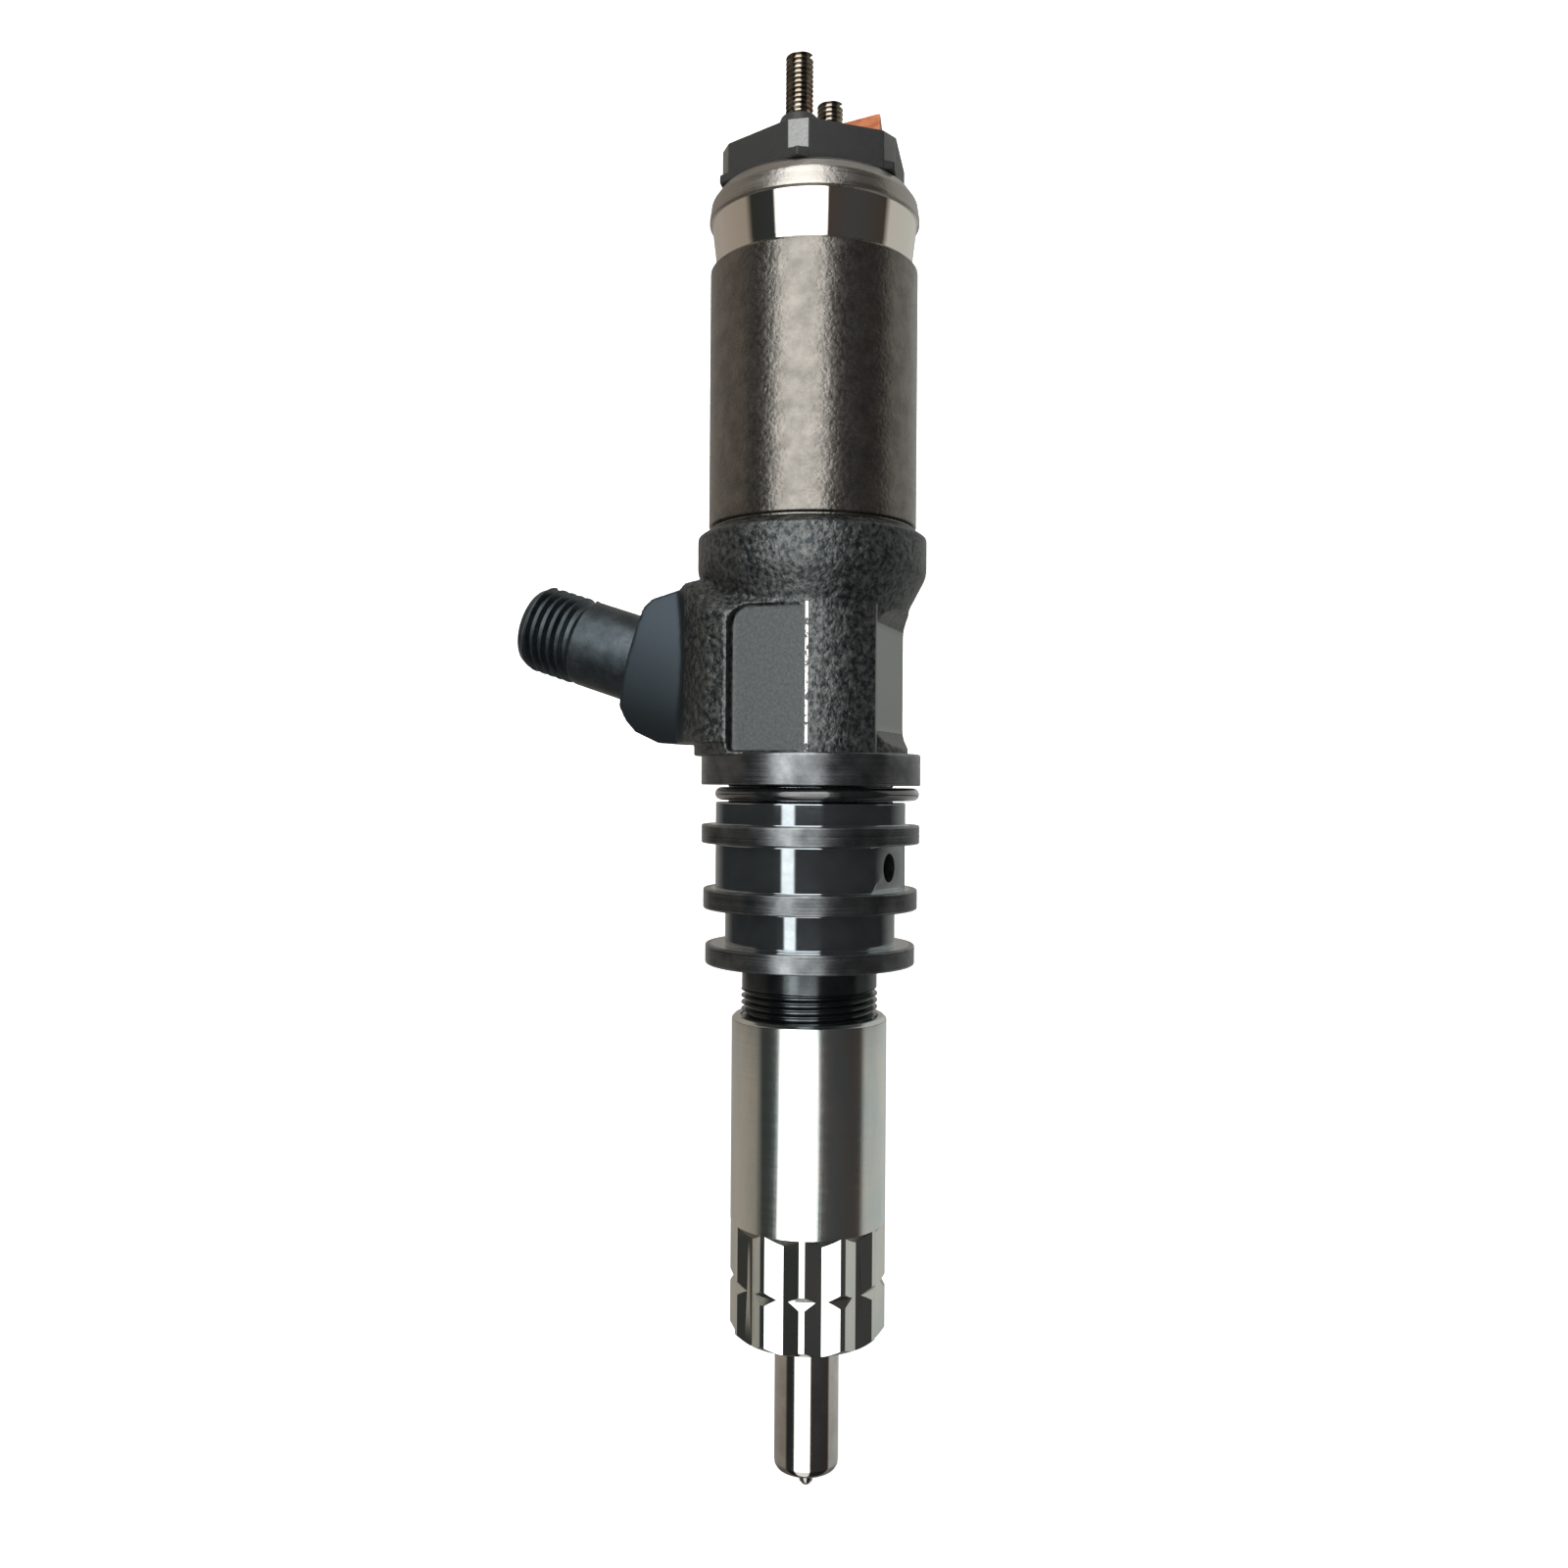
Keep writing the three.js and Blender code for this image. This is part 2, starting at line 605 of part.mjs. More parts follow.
function inletConnector() {
  const spigotFoot = BOSS_REACH - CONNECTOR_SPIGOT_LENGTH;
  const flangeFoot = BOSS_REACH + TURNED_GAP;
  const threadFoot = flangeFoot + CONNECTOR_SHANK;
  const threadTop = threadFoot + CONNECTOR_THREAD;
  const end = threadTop + CONNECTOR_CHAMFER;
  const coneDepth = CONNECTOR_CONE_R - CONNECTOR_BORE_R;
  return turned([
    [CONNECTOR_SPIGOT_R, spigotFoot],
    [CONNECTOR_SPIGOT_R, flangeFoot],
    [CONNECTOR_R, flangeFoot],
    ...threadOutline(CONNECTOR_R, INLET_THREAD_DEPTH, THREAD_PITCH, threadFoot, threadTop),
    [CONNECTOR_R, threadTop],
    [CONNECTOR_NOSE_R, end],
    [CONNECTOR_CONE_R, end],
    [CONNECTOR_BORE_R, end - coneDepth],
    [CONNECTOR_BORE_R, spigotFoot],
  ]);
}

function inletGasket() {
  const top = BOSS_REACH - CONNECTOR_SPIGOT_LENGTH - SLIP;
  return tube(CONNECTOR_BORE_R, CONNECTOR_SPIGOT_R, top - GASKET_THICKNESS, top);
}

// A cup with its open end outwards and slots of light cut by its small inner bore.
function edgeFilter() {
  const end =
    BOSS_REACH + TURNED_GAP + CONNECTOR_SHANK + CONNECTOR_THREAD + CONNECTOR_CHAMFER - FILTER_SETBACK;
  const r = CONNECTOR_BORE_R - SLIP;
  return turned([
    [0, end - FILTER_LENGTH],
    [r, end - FILTER_LENGTH],
    [r, end],
    [r - FILTER_WALL, end],
    [r - FILTER_WALL, end - FILTER_LENGTH + FILTER_WALL],
    [0, end - FILTER_LENGTH + FILTER_WALL],
  ]);
}

// ---- Nozzle ----

// The outline of two equal hexagons, one turned by half a step, from the radius of its valleys.
function twelvePointShape(valleyR) {
  const crestR = valleyR * Math.cos(Math.PI / 12) / Math.cos(Math.PI / 6);
  const points = Array.from({ length: 24 }, (_, i) => {
    const angle = DRIVE_TURN + (i * Math.PI) / 12;
    const r = i % 2 ? valleyR : crestR;
    return new THREE.Vector2(r * Math.cos(angle), r * Math.sin(angle));
  });
  return new THREE.Path(points);
}

function nozzleNut() {
  const half = NUT_GROOVE_WIDTH / 2;
  const blank = turned([
    [STEM_R + SLIP, 0],
    [NUT_R - NUT_EDGE, 0],
    [NUT_R, NUT_EDGE],
    [NUT_R, NUT_GROOVE_Z - half],
    [NUT_R - NUT_GROOVE_DEPTH, NUT_GROOVE_Z],
    [NUT_R, NUT_GROOVE_Z + half],
    [NUT_R, NUT_LENGTH - LAND_EDGE],
    [NUT_R - LAND_EDGE, NUT_LENGTH],
    [threadR + RUN, NUT_LENGTH],
    [threadR + RUN, bodyFoot],
    [nutBore, bodyFoot],
    [nutBore, NUT_FLOOR],
    [STEM_R + SLIP, NUT_FLOOR],
  ]);
  const around = new THREE.Shape().absarc(0, 0, NUT_R + OVERRUN, 0, 2 * Math.PI);
  around.holes.push(twelvePointShape(NUT_R - DRIVE_DEPTH));
  const cutter = new THREE.ExtrudeGeometry(around, {
    depth: DRIVE_LENGTH + OVERRUN,
    bevelEnabled: false,
  }).translate(0, 0, -OVERRUN);
  return cut(blank, cutter);
}

function nozzleBody() {
  const headR = nutBore - RUN;
  const tip = -STEM_LENGTH - NUB_LENGTH;
  const sacFloor = tip + SAC_WALL;
  const seatFoot = -STEM_LENGTH + 2 * SAC_R;
  const seatTop = seatFoot + (STEM_BORE_R - SAC_R) / Math.tan(SEAT_HALF_ANGLE);
  const blank = turned([
    ...arc(0, tip + NUB_R, NUB_R, -90, 0, 4),
    [NUB_R, -STEM_LENGTH],
    ...arc(STEM_R - STEM_EDGE, -STEM_LENGTH + STEM_EDGE, STEM_EDGE, -90, 0, 4),
    [STEM_R, NUT_FLOOR],
    [headR, NUT_FLOOR],
    [headR, nozzleTop],
    [NEEDLE_R + RUN, nozzleTop],
    [NEEDLE_R + RUN, GALLERY_Z + GALLERY_HEIGHT],
    [GALLERY_R, GALLERY_Z + GALLERY_HEIGHT],
    [GALLERY_R, GALLERY_Z],
    [STEM_BORE_R, GALLERY_Z],
    [STEM_BORE_R, seatTop],
    [SAC_R, seatFoot],
    [SAC_R, sacFloor + SAC_R],
    [0, sacFloor],
  ]);
  const gallery = GALLERY_Z + GALLERY_HEIGHT / 2;
  const sprays = Array.from({ length: SPRAY_COUNT }, (_, i) => {
    const angle = (2 * Math.PI * i) / SPRAY_COUNT;
    const out = [2 * NUB_R * Math.cos(angle), 2 * NUB_R * Math.sin(angle), tip + NUB_R - NUB_R / 2];
    return bar([0, 0, tip + NUB_R + SAC_R / 2], out, SPRAY_R, 6);
  });
  const dowel = (y) =>
    bar([0, y, nozzleTop - DOWEL_DEPTH], [0, y, nozzleTop + OVERRUN], DOWEL_R + SLIP);
  return cut(
    blank,
    bar([-GALLERY_R + FEED_R, 0, gallery], [-feedOffset, 0, nozzleTop + SLIP], FEED_R),
    dowel(-dowelOffset),
    dowel(dowelOffset),
    ...sprays,
  );
}

function nozzleNeedle() {
  const tan = Math.tan(SEAT_HALF_ANGLE);
  const seatFoot = -STEM_LENGTH + 2 * SAC_R + SEAT / Math.sin(SEAT_HALF_ANGLE);
  const tipR = SAC_R / 2;
  const coneTop = seatFoot + (NEEDLE_SHANK_R - SAC_R) / tan;
  const guideTop = nozzleTop - NEEDLE_LIFT - SEAT;
  return turned([
    [0, seatFoot - (SAC_R - tipR) / tan],
    [tipR, seatFoot - (SAC_R - tipR) / tan],
    [NEEDLE_SHANK_R, coneTop],
    [NEEDLE_SHANK_R, GALLERY_Z + GALLERY_HEIGHT / 2],
    [NEEDLE_R, GALLERY_Z + GALLERY_HEIGHT],
    [NEEDLE_R, guideTop],
    [NEEDLE_NECK_R, guideTop],
    [NEEDLE_NECK_R, bodyFoot + NECK_RISE],
    [0, bodyFoot + NECK_RISE],
  ]);
}

function distancePiece() {
  const through = (x, y, r) => bar([x, y, nozzleTop - OVERRUN], [x, y, bodyFoot + OVERRUN], r);
  return cut(
    tube(NECK_HOLE_R, nutBore - RUN, nozzleTop, bodyFoot),
    through(-feedOffset, 0, FEED_R),
    through(0, -dowelOffset, DOWEL_R + SLIP),
    through(0, dowelOffset, DOWEL_R + SLIP),
  );
}

function dowelPin(y) {
  const low = nozzleTop - DOWEL_DEPTH + SLIP;
  const high = bodyFoot + DOWEL_DEPTH - SLIP;
  return bar([0, y, low], [0, y, high], DOWEL_R);
}

// ---- Needle spring and command piston ----

function pressurePin() {
  return turned([
    [0, pinFoot],
    [PIN_HEAD_R, pinFoot],
    [PIN_HEAD_R, pinFoot + PIN_HEAD_LENGTH],
    [PIN_STEM_R, pinFoot + PIN_HEAD_LENGTH],
    [PIN_STEM_R, pinTop],
    [0, pinTop],
  ]);
}

function needleSpring() {
  const low = pinFoot + PIN_HEAD_LENGTH;
  return spring(NEEDLE_SPRING_R, NEEDLE_SPRING_WIRE_R, low, springRoof, NEEDLE_SPRING_TURNS);
}

function springShim() {
  return tube(PIN_STEM_R + TURNED_GAP, SPRING_CHAMBER_R - SLIP, springRoof, pinTop);
}

function commandPiston() {
  return tube(0, PISTON_R, pinTop + SEAT, pistonTop);
}

// ---- Control valve ----

function valveBody() {
  return turned([
    [PISTON_R + RUN, wellFloor],
    [VALVE_R - RUN, wellFloor],
    [VALVE_R - RUN, orificeFoot],
    [ORIFICE_R, orificeFoot],
    [ORIFICE_R, chamberRoof],
    [PISTON_R + RUN, chamberRoof],
  ]);
}

function orificePlate() {
  return turned([
    [ORIFICE_R, orificeFoot],
    [VALVE_R - RUN, orificeFoot],
    [VALVE_R - RUN, retainerFoot],
    [BALL_SEAT_R, retainerFoot],
    [ORIFICE_R, retainerFoot - (BALL_SEAT_R - ORIFICE_R)],
  ]);
}

function valveBall() {
  return turned(arc(0, ballCentre, BALL_R, -90, 90, 8), SMALL_SIDES);
}

function valveRetainer() {
  return tube(GUIDE_TUBE_R + TURNED_GAP, VALVE_R - RUN, retainerFoot, guideFoot);
}

function armatureGuide() {
  return turned([
    [ARMATURE_STEM_R + RUN, guideFoot - GUIDE_TUBE_LENGTH],
    [GUIDE_TUBE_R, guideFoot - GUIDE_TUBE_LENGTH],
    [GUIDE_TUBE_R, guideFoot],
    [VALVE_R - RUN, guideFoot],
    [VALVE_R - RUN, guideFoot + GUIDE_FLANGE],
    [ARMATURE_STEM_R + RUN, guideFoot + GUIDE_FLANGE],
  ]);
}

function armature() {
  const foot = ballCentre + BALL_R + SEAT;
  return turned([
    [0, foot],
    [ARMATURE_STEM_R, foot],
    [ARMATURE_STEM_R, armatureFoot],
    [ARMATURE_R, armatureFoot],
    [ARMATURE_R, armatureTop],
    [0, armatureTop],
  ]);
}

function liftShim() {
  return tube(housingBore - SHIM_WALL, housingBore - RUN, spigotTop, coreFoot);
}

// ---- Solenoid ----

function leadHole(y, r) {
  return bar([0, y, coreFoot], [0, y, coreTop + OVERRUN], r);
}

function solenoidCore() {
  const blank = turned([
    [coreBore, coreFoot],
    [COIL_POCKET_IN_R, coreFoot],
    [COIL_POCKET_IN_R, pocketRoof],
    [COIL_POCKET_OUT_R, pocketRoof],
    [COIL_POCKET_OUT_R, coreFoot],
    [housingBore - RUN, coreFoot],
    [housingBore - RUN, coreTop],
    [coreBore, coreTop],
  ]);
  const hole = LEAD_R + TURNED_GAP;
  return cut(blank, leadHole(-leadOffset, hole), leadHole(leadOffset, hole));
}

function coilBobbin() {
  const low = coreFoot + SLIP;
  const high = pocketRoof - SLIP;
  const inner = COIL_POCKET_IN_R + SLIP;
  const outer = COIL_POCKET_OUT_R - SLIP;
  const blank = turned([
    [inner, low],
    [outer, low],
    [outer, low + BOBBIN_WALL],
    [inner + BOBBIN_WALL, low + BOBBIN_WALL],
    [inner + BOBBIN_WALL, high - BOBBIN_WALL],
    [outer, high - BOBBIN_WALL],
    [outer, high],
    [inner, high],
  ]);
  const middle = (low + high) / 2;
  const hole = (y) => bar([0, y, middle], [0, y, high + OVERRUN], LEAD_R + SLIP);
  return cut(blank, hole(-leadOffset), hole(leadOffset));
}

function coilWinding() {
  const wall = BOBBIN_WALL + 2 * SLIP;
  return tube(coilInnerR + 2 * SLIP, COIL_R, coreFoot + wall, pocketRoof - wall);
}

function coilLead(y) {
  const low = pocketRoof - BOBBIN_WALL - 2 * SLIP;
  const high = coreTop + CAP_CAVITY_HEIGHT - STUD_HEAD_THICKNESS;
  return bar([0, y, low], [0, y, high], LEAD_R);
}

function valveSpring() {
  return spring(VALVE_SPRING_R, VALVE_SPRING_WIRE_R, armatureTop, plugFoot, VALVE_SPRING_TURNS);
}

function springPlug() {
  return tube(SPRING_PLUG_BORE_R, coreBore - RUN, plugFoot, coreTop);
}

function solenoidHousing() {
  const rimR = HOUSING_R - RIM_WALL;
  return turned([
    [housingBore, headTop],
    [HOUSING_R, headTop],
    [HOUSING_R, housingTop],
    [rimR, housingTop],
    [rimR, rimTop],
    [housingBore, rimTop],
  ]);
}

// ---- Cap ----

// The polished band with its lip, closed by a rounded shoulder over the cap's flange.
function retainingRing() {
  const lipR = HOUSING_R + BAND_LIP;
  const shoulder = Array.from({ length: 5 }, (_, i) => {
    const angle = (i / 4) * (Math.PI / 2);
    const r = lipR - SHOULDER_INSET * (1 - Math.cos(angle));
    return [r, bandTop + SHOULDER_HEIGHT * Math.sin(angle)];
  });
  return turned([
    [HOUSING_R - RIM_WALL + RUN, housingTop],
    [HOUSING_R - BAND_FOOT_INSET, housingTop],
    [HOUSING_R - BAND_TOP_INSET, bandTop - BAND_LIP],
    ...shoulder,
    [CAP_NECK_R + RUN, capFoot],
    [CAP_NECK_R + RUN, rimTop],
    [HOUSING_R - RIM_WALL + RUN, rimTop],
  ]);
}

function capHead() {
  const corner = (i) => {
    const angle = CAP_TURN + (i * Math.PI) / 3;
    return new THREE.Vector2(CAP_CORNER_R * Math.cos(angle), CAP_CORNER_R * Math.sin(angle));
  };
  const hexagon = new THREE.Shape(Array.from({ length: 6 }, (_, i) => corner(i)));
  const block = new THREE.ExtrudeGeometry(hexagon, { depth: CAP_HEIGHT, bevelEnabled: false });
  block.translate(0, 0, capFoot);
  const cutDepth = CAP_FACET / 2 / Math.tan(Math.PI / 3);
  const facetMiddle = capTop + (OVERRUN - CAP_FACET_HEIGHT) / 2;
  const facet = (i) =>
    new THREE.BoxGeometry(OVERRUN, 2 * OVERRUN, CAP_FACET_HEIGHT + OVERRUN)
      .translate(CAP_CORNER_R - cutDepth + OVERRUN / 2, 0, facetMiddle)
      .rotateZ(CAP_TURN + (i * Math.PI) / 3);
  return cut(block, ...Array.from({ length: 6 }, (_, i) => facet(i)));
}

function solenoidCap() {
  const flangeR = housingBore - RUN;
  const sealZ = coreTop + CAP_SEAL_RISE;
  const sealHalf = CAP_SEAL_SECTION / 2 + SLIP;
  const sealFloorR = flangeR - CAP_SEAL_SECTION + TURNED_GAP / 2;
  const cavityR = sealFloorR - CAP_WALL;
  const plug = turned([
    [cavityR, coreTop],
    [flangeR, coreTop],
    [flangeR, sealZ - sealHalf],
    [sealFloorR, sealZ - sealHalf],
    [sealFloorR, sealZ + sealHalf],
    [flangeR, sealZ + sealHalf],
    [flangeR, rimTop],
    [CAP_NECK_R, rimTop],
    [CAP_NECK_R, capFoot + SLIP],
    [0, capFoot + SLIP],
    [0, coreTop + CAP_CAVITY_HEIGHT],
    [cavityR, coreTop + CAP_CAVITY_HEIGHT],
  ]);
  const hole = (y) => bar([0, y, coreTop], [0, y, capTop + OVERRUN], STUD_R + RUN);
  return cut(join(plug, capHead()), hole(-STUD_SPACING / 2), hole(STUD_SPACING / 2));
}

function terminalStud(y) {
  const headTopZ = coreTop + CAP_CAVITY_HEIGHT;
  const chamfer = STUD_R / 4;
  return turned(
    [
      [0, headTopZ - STUD_HEAD_THICKNESS],
      [STUD_HEAD_R, headTopZ - STUD_HEAD_THICKNESS],
      [STUD_HEAD_R, headTopZ],
      [STUD_R, headTopZ],
      [STUD_R, capTop + STUD_RISE - chamfer],
      [STUD_R - chamfer, capTop + STUD_RISE],
      [0, capTop + STUD_RISE],
    ],
    SMALL_SIDES,
  ).translate(0, y, 0);
}

function studCollar(y) {
  const top = capTop + STUD_COLLAR_HEIGHT;
  const outline = [
    [STUD_R + SLIP, capTop],
    [STUD_COLLAR_FOOT_R, capTop],
    [STUD_COLLAR_TOP_R, top],
    [STUD_R + SLIP, top],
  ];
  return turned(outline, SMALL_SIDES).translate(0, y, 0);
}

function resinBlock() {
  const shape = new THREE.Shape(RESIN_CORNERS.map(([x, y]) => new THREE.Vector2(x, y)));
  const block = new THREE.ExtrudeGeometry(shape, { depth: RESIN_HEIGHT, bevelEnabled: false });
  return block.translate(0, 0, capTop);
}

function bodySeal() {
  const sectionR = SEAL_SECTION / 2;
  const middle = SEAL_SEAT_R + SEAL_SHIFT + sectionR + SLIP;
  return torus(middle, sectionR, collar - SEAL_SEAT_HEIGHT / 2).translate(SEAL_SHIFT, 0, 0);
}

function housingSeal() {
  const sectionR = SPIGOT_SEAL_SECTION / 2 - SLIP;
  const middle = housingBore - RUN - SPIGOT_SEAL_SECTION / 2;
  return torus(middle, sectionR, headTop + SPIGOT_SEAL_RISE);
}

function capSeal() {
  const sectionR = (CAP_SEAL_SECTION - TURNED_GAP / 2) / 2 - SLIP;
  const middle = housingBore - RUN - SLIP - sectionR;
  return torus(middle, sectionR, coreTop + CAP_SEAL_RISE);
}

// ---- Assembly ----

const nozzle = new THREE.Group();
nozzle.add(
  piece("nozzle_nut", nozzleNut(), steel(0xa3a6a2, 0.25)),
  piece("nozzle_body", nozzleBody(), steel(0x9a9a98, 0.2)),
  piece("nozzle_needle", nozzleNeedle(), steel(0xb4b6b8, 0.15)),
  piece("distance_piece", distancePiece(), steel(0x8e9092, 0.3)),
  piece("dowel_pin_front", dowelPin(-dowelOffset), steel(0x9c9ea0, 0.3)),
  piece("dowel_pin_rear", dowelPin(dowelOffset), steel(0x9c9ea0, 0.3)),
  piece("pressure_pin", pressurePin(), steel(0xa0a2a4, 0.25)),
  piece("needle_spring", needleSpring(), steel(0x6c6e70, 0.4)),
  piece("spring_shim", springShim(), steel(0x8a8c8e, 0.35)),
);

const inlet = new THREE.Group();
inlet.position.z = inletHeight;
inlet.rotation.y = INLET_TILT - Math.PI / 2;
inlet.add(
  piece("inlet_connector", inletConnector(), steel(0x3a4448, 0.4, 0.6)),
  piece("inlet_gasket", inletGasket(), steel(0xb87346, 0.4)),
  piece("edge_filter", edgeFilter(), steel(0x9a9c9e, 0.35)),
);

const valve = new THREE.Group();
valve.add(
  piece("command_piston", commandPiston(), steel(0xacaeb0, 0.15)),
  piece("valve_body", valveBody(), steel(0x8c8e90, 0.3)),
  piece("orifice_plate", orificePlate(), steel(0x96989a, 0.25)),
  piece("valve_ball", valveBall(), resin(0xd8d8d4, 0.15)),
  piece("valve_retainer", valveRetainer(), steel(0x77797b, 0.4)),
  piece("armature_guide", armatureGuide(), steel(0x8c8e90, 0.3)),
  piece("armature", armature(), steel(0x7c7e80, 0.35)),
  piece("lift_shim", liftShim(), steel(0x9a9c9e, 0.3)),
);

const solenoid = new THREE.Group();
solenoid.add(
  piece("solenoid_housing", solenoidHousing(), steel(0x4b4945, 0.6, 0.6)),
  piece("solenoid_core", solenoidCore(), steel(0x5c5e60, 0.6, 0.5)),
  piece("coil_bobbin", coilBobbin(), resin(0x33302c, 0.6)),
  piece("coil_winding", coilWinding(), steel(0xa85e30, 0.4)),
  piece("coil_lead_front", coilLead(-leadOffset), steel(0xb46a38, 0.35)),
  piece("coil_lead_rear", coilLead(leadOffset), steel(0xb46a38, 0.35)),
  piece("valve_spring", valveSpring(), steel(0x808284, 0.35)),
  piece("spring_plug", springPlug(), steel(0x909294, 0.3)),
  piece("retaining_ring", retainingRing(), steel(0x9a9288, 0.15)),
  piece("solenoid_cap", solenoidCap(), resin(0x373938, 0.55)),
  piece("terminal_stud_front", terminalStud(-STUD_SPACING / 2), steel(0xa09c94, 0.3)),
  piece("terminal_stud_rear", terminalStud(STUD_SPACING / 2), steel(0xa09c94, 0.3)),
  piece("stud_collar_front", studCollar(-STUD_SPACING / 2), resin(0x2c2c2a, 0.6)),
  piece("stud_collar_rear", studCollar(STUD_SPACING / 2), resin(0x2c2c2a, 0.6)),
  piece("resin_block", resinBlock(), resin(0xb87550, 0.5)),
);

const seals = new THREE.Group();
seals.add(
  piece("body_seal", bodySeal(), resin(0x161616, 0.35)),
  piece("housing_seal", housingSeal(), resin(0x161616, 0.4)),
  piece("cap_seal", capSeal(), resin(0x161616, 0.4)),
);

const injector = new THREE.Group();
injector.add(piece("injector_body", injectorBody(), steel(0x3c4042, 0.45, 0.7)));
injector.add(nozzle, inlet, valve, solenoid, seals);

export default injector;
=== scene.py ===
import bpy
import json
import math
from mathutils import Matrix, Vector


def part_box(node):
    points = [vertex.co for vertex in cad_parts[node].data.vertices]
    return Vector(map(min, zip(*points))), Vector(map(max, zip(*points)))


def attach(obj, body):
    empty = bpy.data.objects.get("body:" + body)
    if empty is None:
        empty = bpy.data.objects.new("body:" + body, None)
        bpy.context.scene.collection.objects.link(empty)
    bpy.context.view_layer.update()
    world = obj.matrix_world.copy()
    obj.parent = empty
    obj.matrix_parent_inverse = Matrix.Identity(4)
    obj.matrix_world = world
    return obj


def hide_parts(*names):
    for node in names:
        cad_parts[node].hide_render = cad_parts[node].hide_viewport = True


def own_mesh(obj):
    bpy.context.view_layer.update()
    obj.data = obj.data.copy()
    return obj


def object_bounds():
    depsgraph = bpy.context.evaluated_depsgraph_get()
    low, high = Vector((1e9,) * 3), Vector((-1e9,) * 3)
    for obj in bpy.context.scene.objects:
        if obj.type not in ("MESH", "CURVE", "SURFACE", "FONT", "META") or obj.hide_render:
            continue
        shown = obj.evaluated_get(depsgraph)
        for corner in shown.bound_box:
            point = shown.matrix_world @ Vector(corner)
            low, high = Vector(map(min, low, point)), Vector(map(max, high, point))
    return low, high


# A common-rail injector in metres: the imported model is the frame, and what shows is modelled here
# in finer detail. Outlines are in millimetres from the frame's origin, +Z along the injector.
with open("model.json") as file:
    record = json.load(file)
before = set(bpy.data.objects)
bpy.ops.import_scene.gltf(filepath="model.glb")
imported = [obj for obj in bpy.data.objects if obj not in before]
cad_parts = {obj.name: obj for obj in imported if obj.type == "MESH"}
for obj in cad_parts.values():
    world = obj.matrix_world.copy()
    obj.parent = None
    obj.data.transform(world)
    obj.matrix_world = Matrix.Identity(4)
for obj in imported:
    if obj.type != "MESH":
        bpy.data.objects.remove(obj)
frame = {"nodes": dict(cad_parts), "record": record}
cad_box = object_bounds()

MM = 0.001
STEPS = 144  # of a turned piece
WELD = 1e-7  # metres within which drawn points are one
SUPPORT = 0.08  # distance of a support point from its rounding


def node_mm(name):
    """The lowest and highest corners of a CAD node in millimetres."""
    low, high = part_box(name)
    return low / MM, high / MM


# Heights and radii read from the frame
nut_low, nut_high = node_mm("nozzle_nut")
body_low, body_high = node_mm("injector_body")
stem_low, _ = node_mm("nozzle_body")
housing_low, housing_high = node_mm("solenoid_housing")
ring_low, ring_high = node_mm("retaining_ring")
_, cap_high = node_mm("solenoid_cap")
stud_low, stud_high = node_mm("terminal_stud_front")
seal_low, seal_high = node_mm("body_seal")
_, resin_high = node_mm("resin_block")
_, collar_high = node_mm("stud_collar_front")

NUT_R = nut_high.x
NUT_TOP = nut_high.z
HOUSING_R = housing_high.x
HOUSING_FOOT = housing_low.z
BAND_FOOT = ring_low.z
CAP_FOOT = ring_high.z
CAP_TOP = cap_high.z
HEAD_R = body_high.x

# Sizes of the body's steps, from the nut upwards
THREAD_R = NUT_R - 1.4
NECK_R = THREAD_R - 0.1
THREAD_END = NUT_TOP + 4.1
LANDS = ((15.65, THREAD_END + 3.6, 2.9), (16.0, THREAD_END + 11.8, 3.0), (16.3, THREAD_END + 21.5, 2.8))
GROOVE_R = (12.7, 14.2, 14.2)
SEAL_SEAT_R = 12.3
SEAL_SEAT_HEIGHT = 2.5
COLLAR_R = 16.4
COLLAR_FOOT = LANDS[2][1] + 8.6
COLLAR_TOP = COLLAR_FOOT + 4.7
WAIST_R = 14.5
FLARE_FOOT = COLLAR_TOP + 21.5
FLARE_TOP = FLARE_FOOT + 5.6
CLAMP_FLAT = 14.0
SIDE_FLAT = 12.2
FLAT_REACH = 7.5
FLAT_END = 5.0
FLAT_EDGE = math.sqrt(WAIST_R ** 2 - CLAMP_FLAT ** 2)  # where a clamp flat runs out into the round waist
PORT_FLAT = 12.8
PORT_TURN = math.radians(8)
PORT_Z = LANDS[1][1] + LANDS[1][2] + 3.35
INLET_TILT = math.radians(18)
INLET_Z = COLLAR_TOP + 5.5
BOSS_REACH = 27.4
SHANK_R = 6.85
PITCH = 1.5
DRIVE_DEPTH = 1.0
DRIVE_TURN = math.radians(14)
STUD_R = 2.0
STUD_PITCH = 0.7
STUD_Y = 7.5


# ---- Modelling helpers ----

def only(obj):
    """Makes one object the whole selection."""
    if bpy.context.mode != "OBJECT":
        bpy.ops.object.mode_set(mode="OBJECT")
    bpy.ops.object.select_all(action="DESELECT")
    obj.select_set(True)
    bpy.context.view_layer.objects.active = obj


def edit(obj, mode="VERT"):
    only(obj)
    bpy.ops.object.mode_set(mode="EDIT")
    bpy.ops.mesh.select_mode(type=mode)
    bpy.ops.mesh.select_all(action="SELECT")


def done(obj, smooth=30):
    """Leaves edit mode, puts the object's place in its mesh and smooths the shallow edges."""
    only(obj)
    bpy.ops.object.transform_apply(location=True, rotation=True, scale=True)
    bpy.ops.object.shade_smooth_by_angle(angle=math.radians(smooth))
    return obj


def apply(obj, kind, **settings):
    """Adds a modifier with its settings and applies it."""
    only(obj)
    modifier = obj.modifiers.new(kind.lower(), kind)
    for key, value in settings.items():
        setattr(modifier, key, value)
    bpy.ops.object.modifier_apply(modifier=modifier.name)


def combine(obj, tool, operation="DIFFERENCE"):
    apply(obj, "BOOLEAN", object=tool, operation=operation, solver="EXACT")
    bpy.data.objects.remove(tool)
    return obj


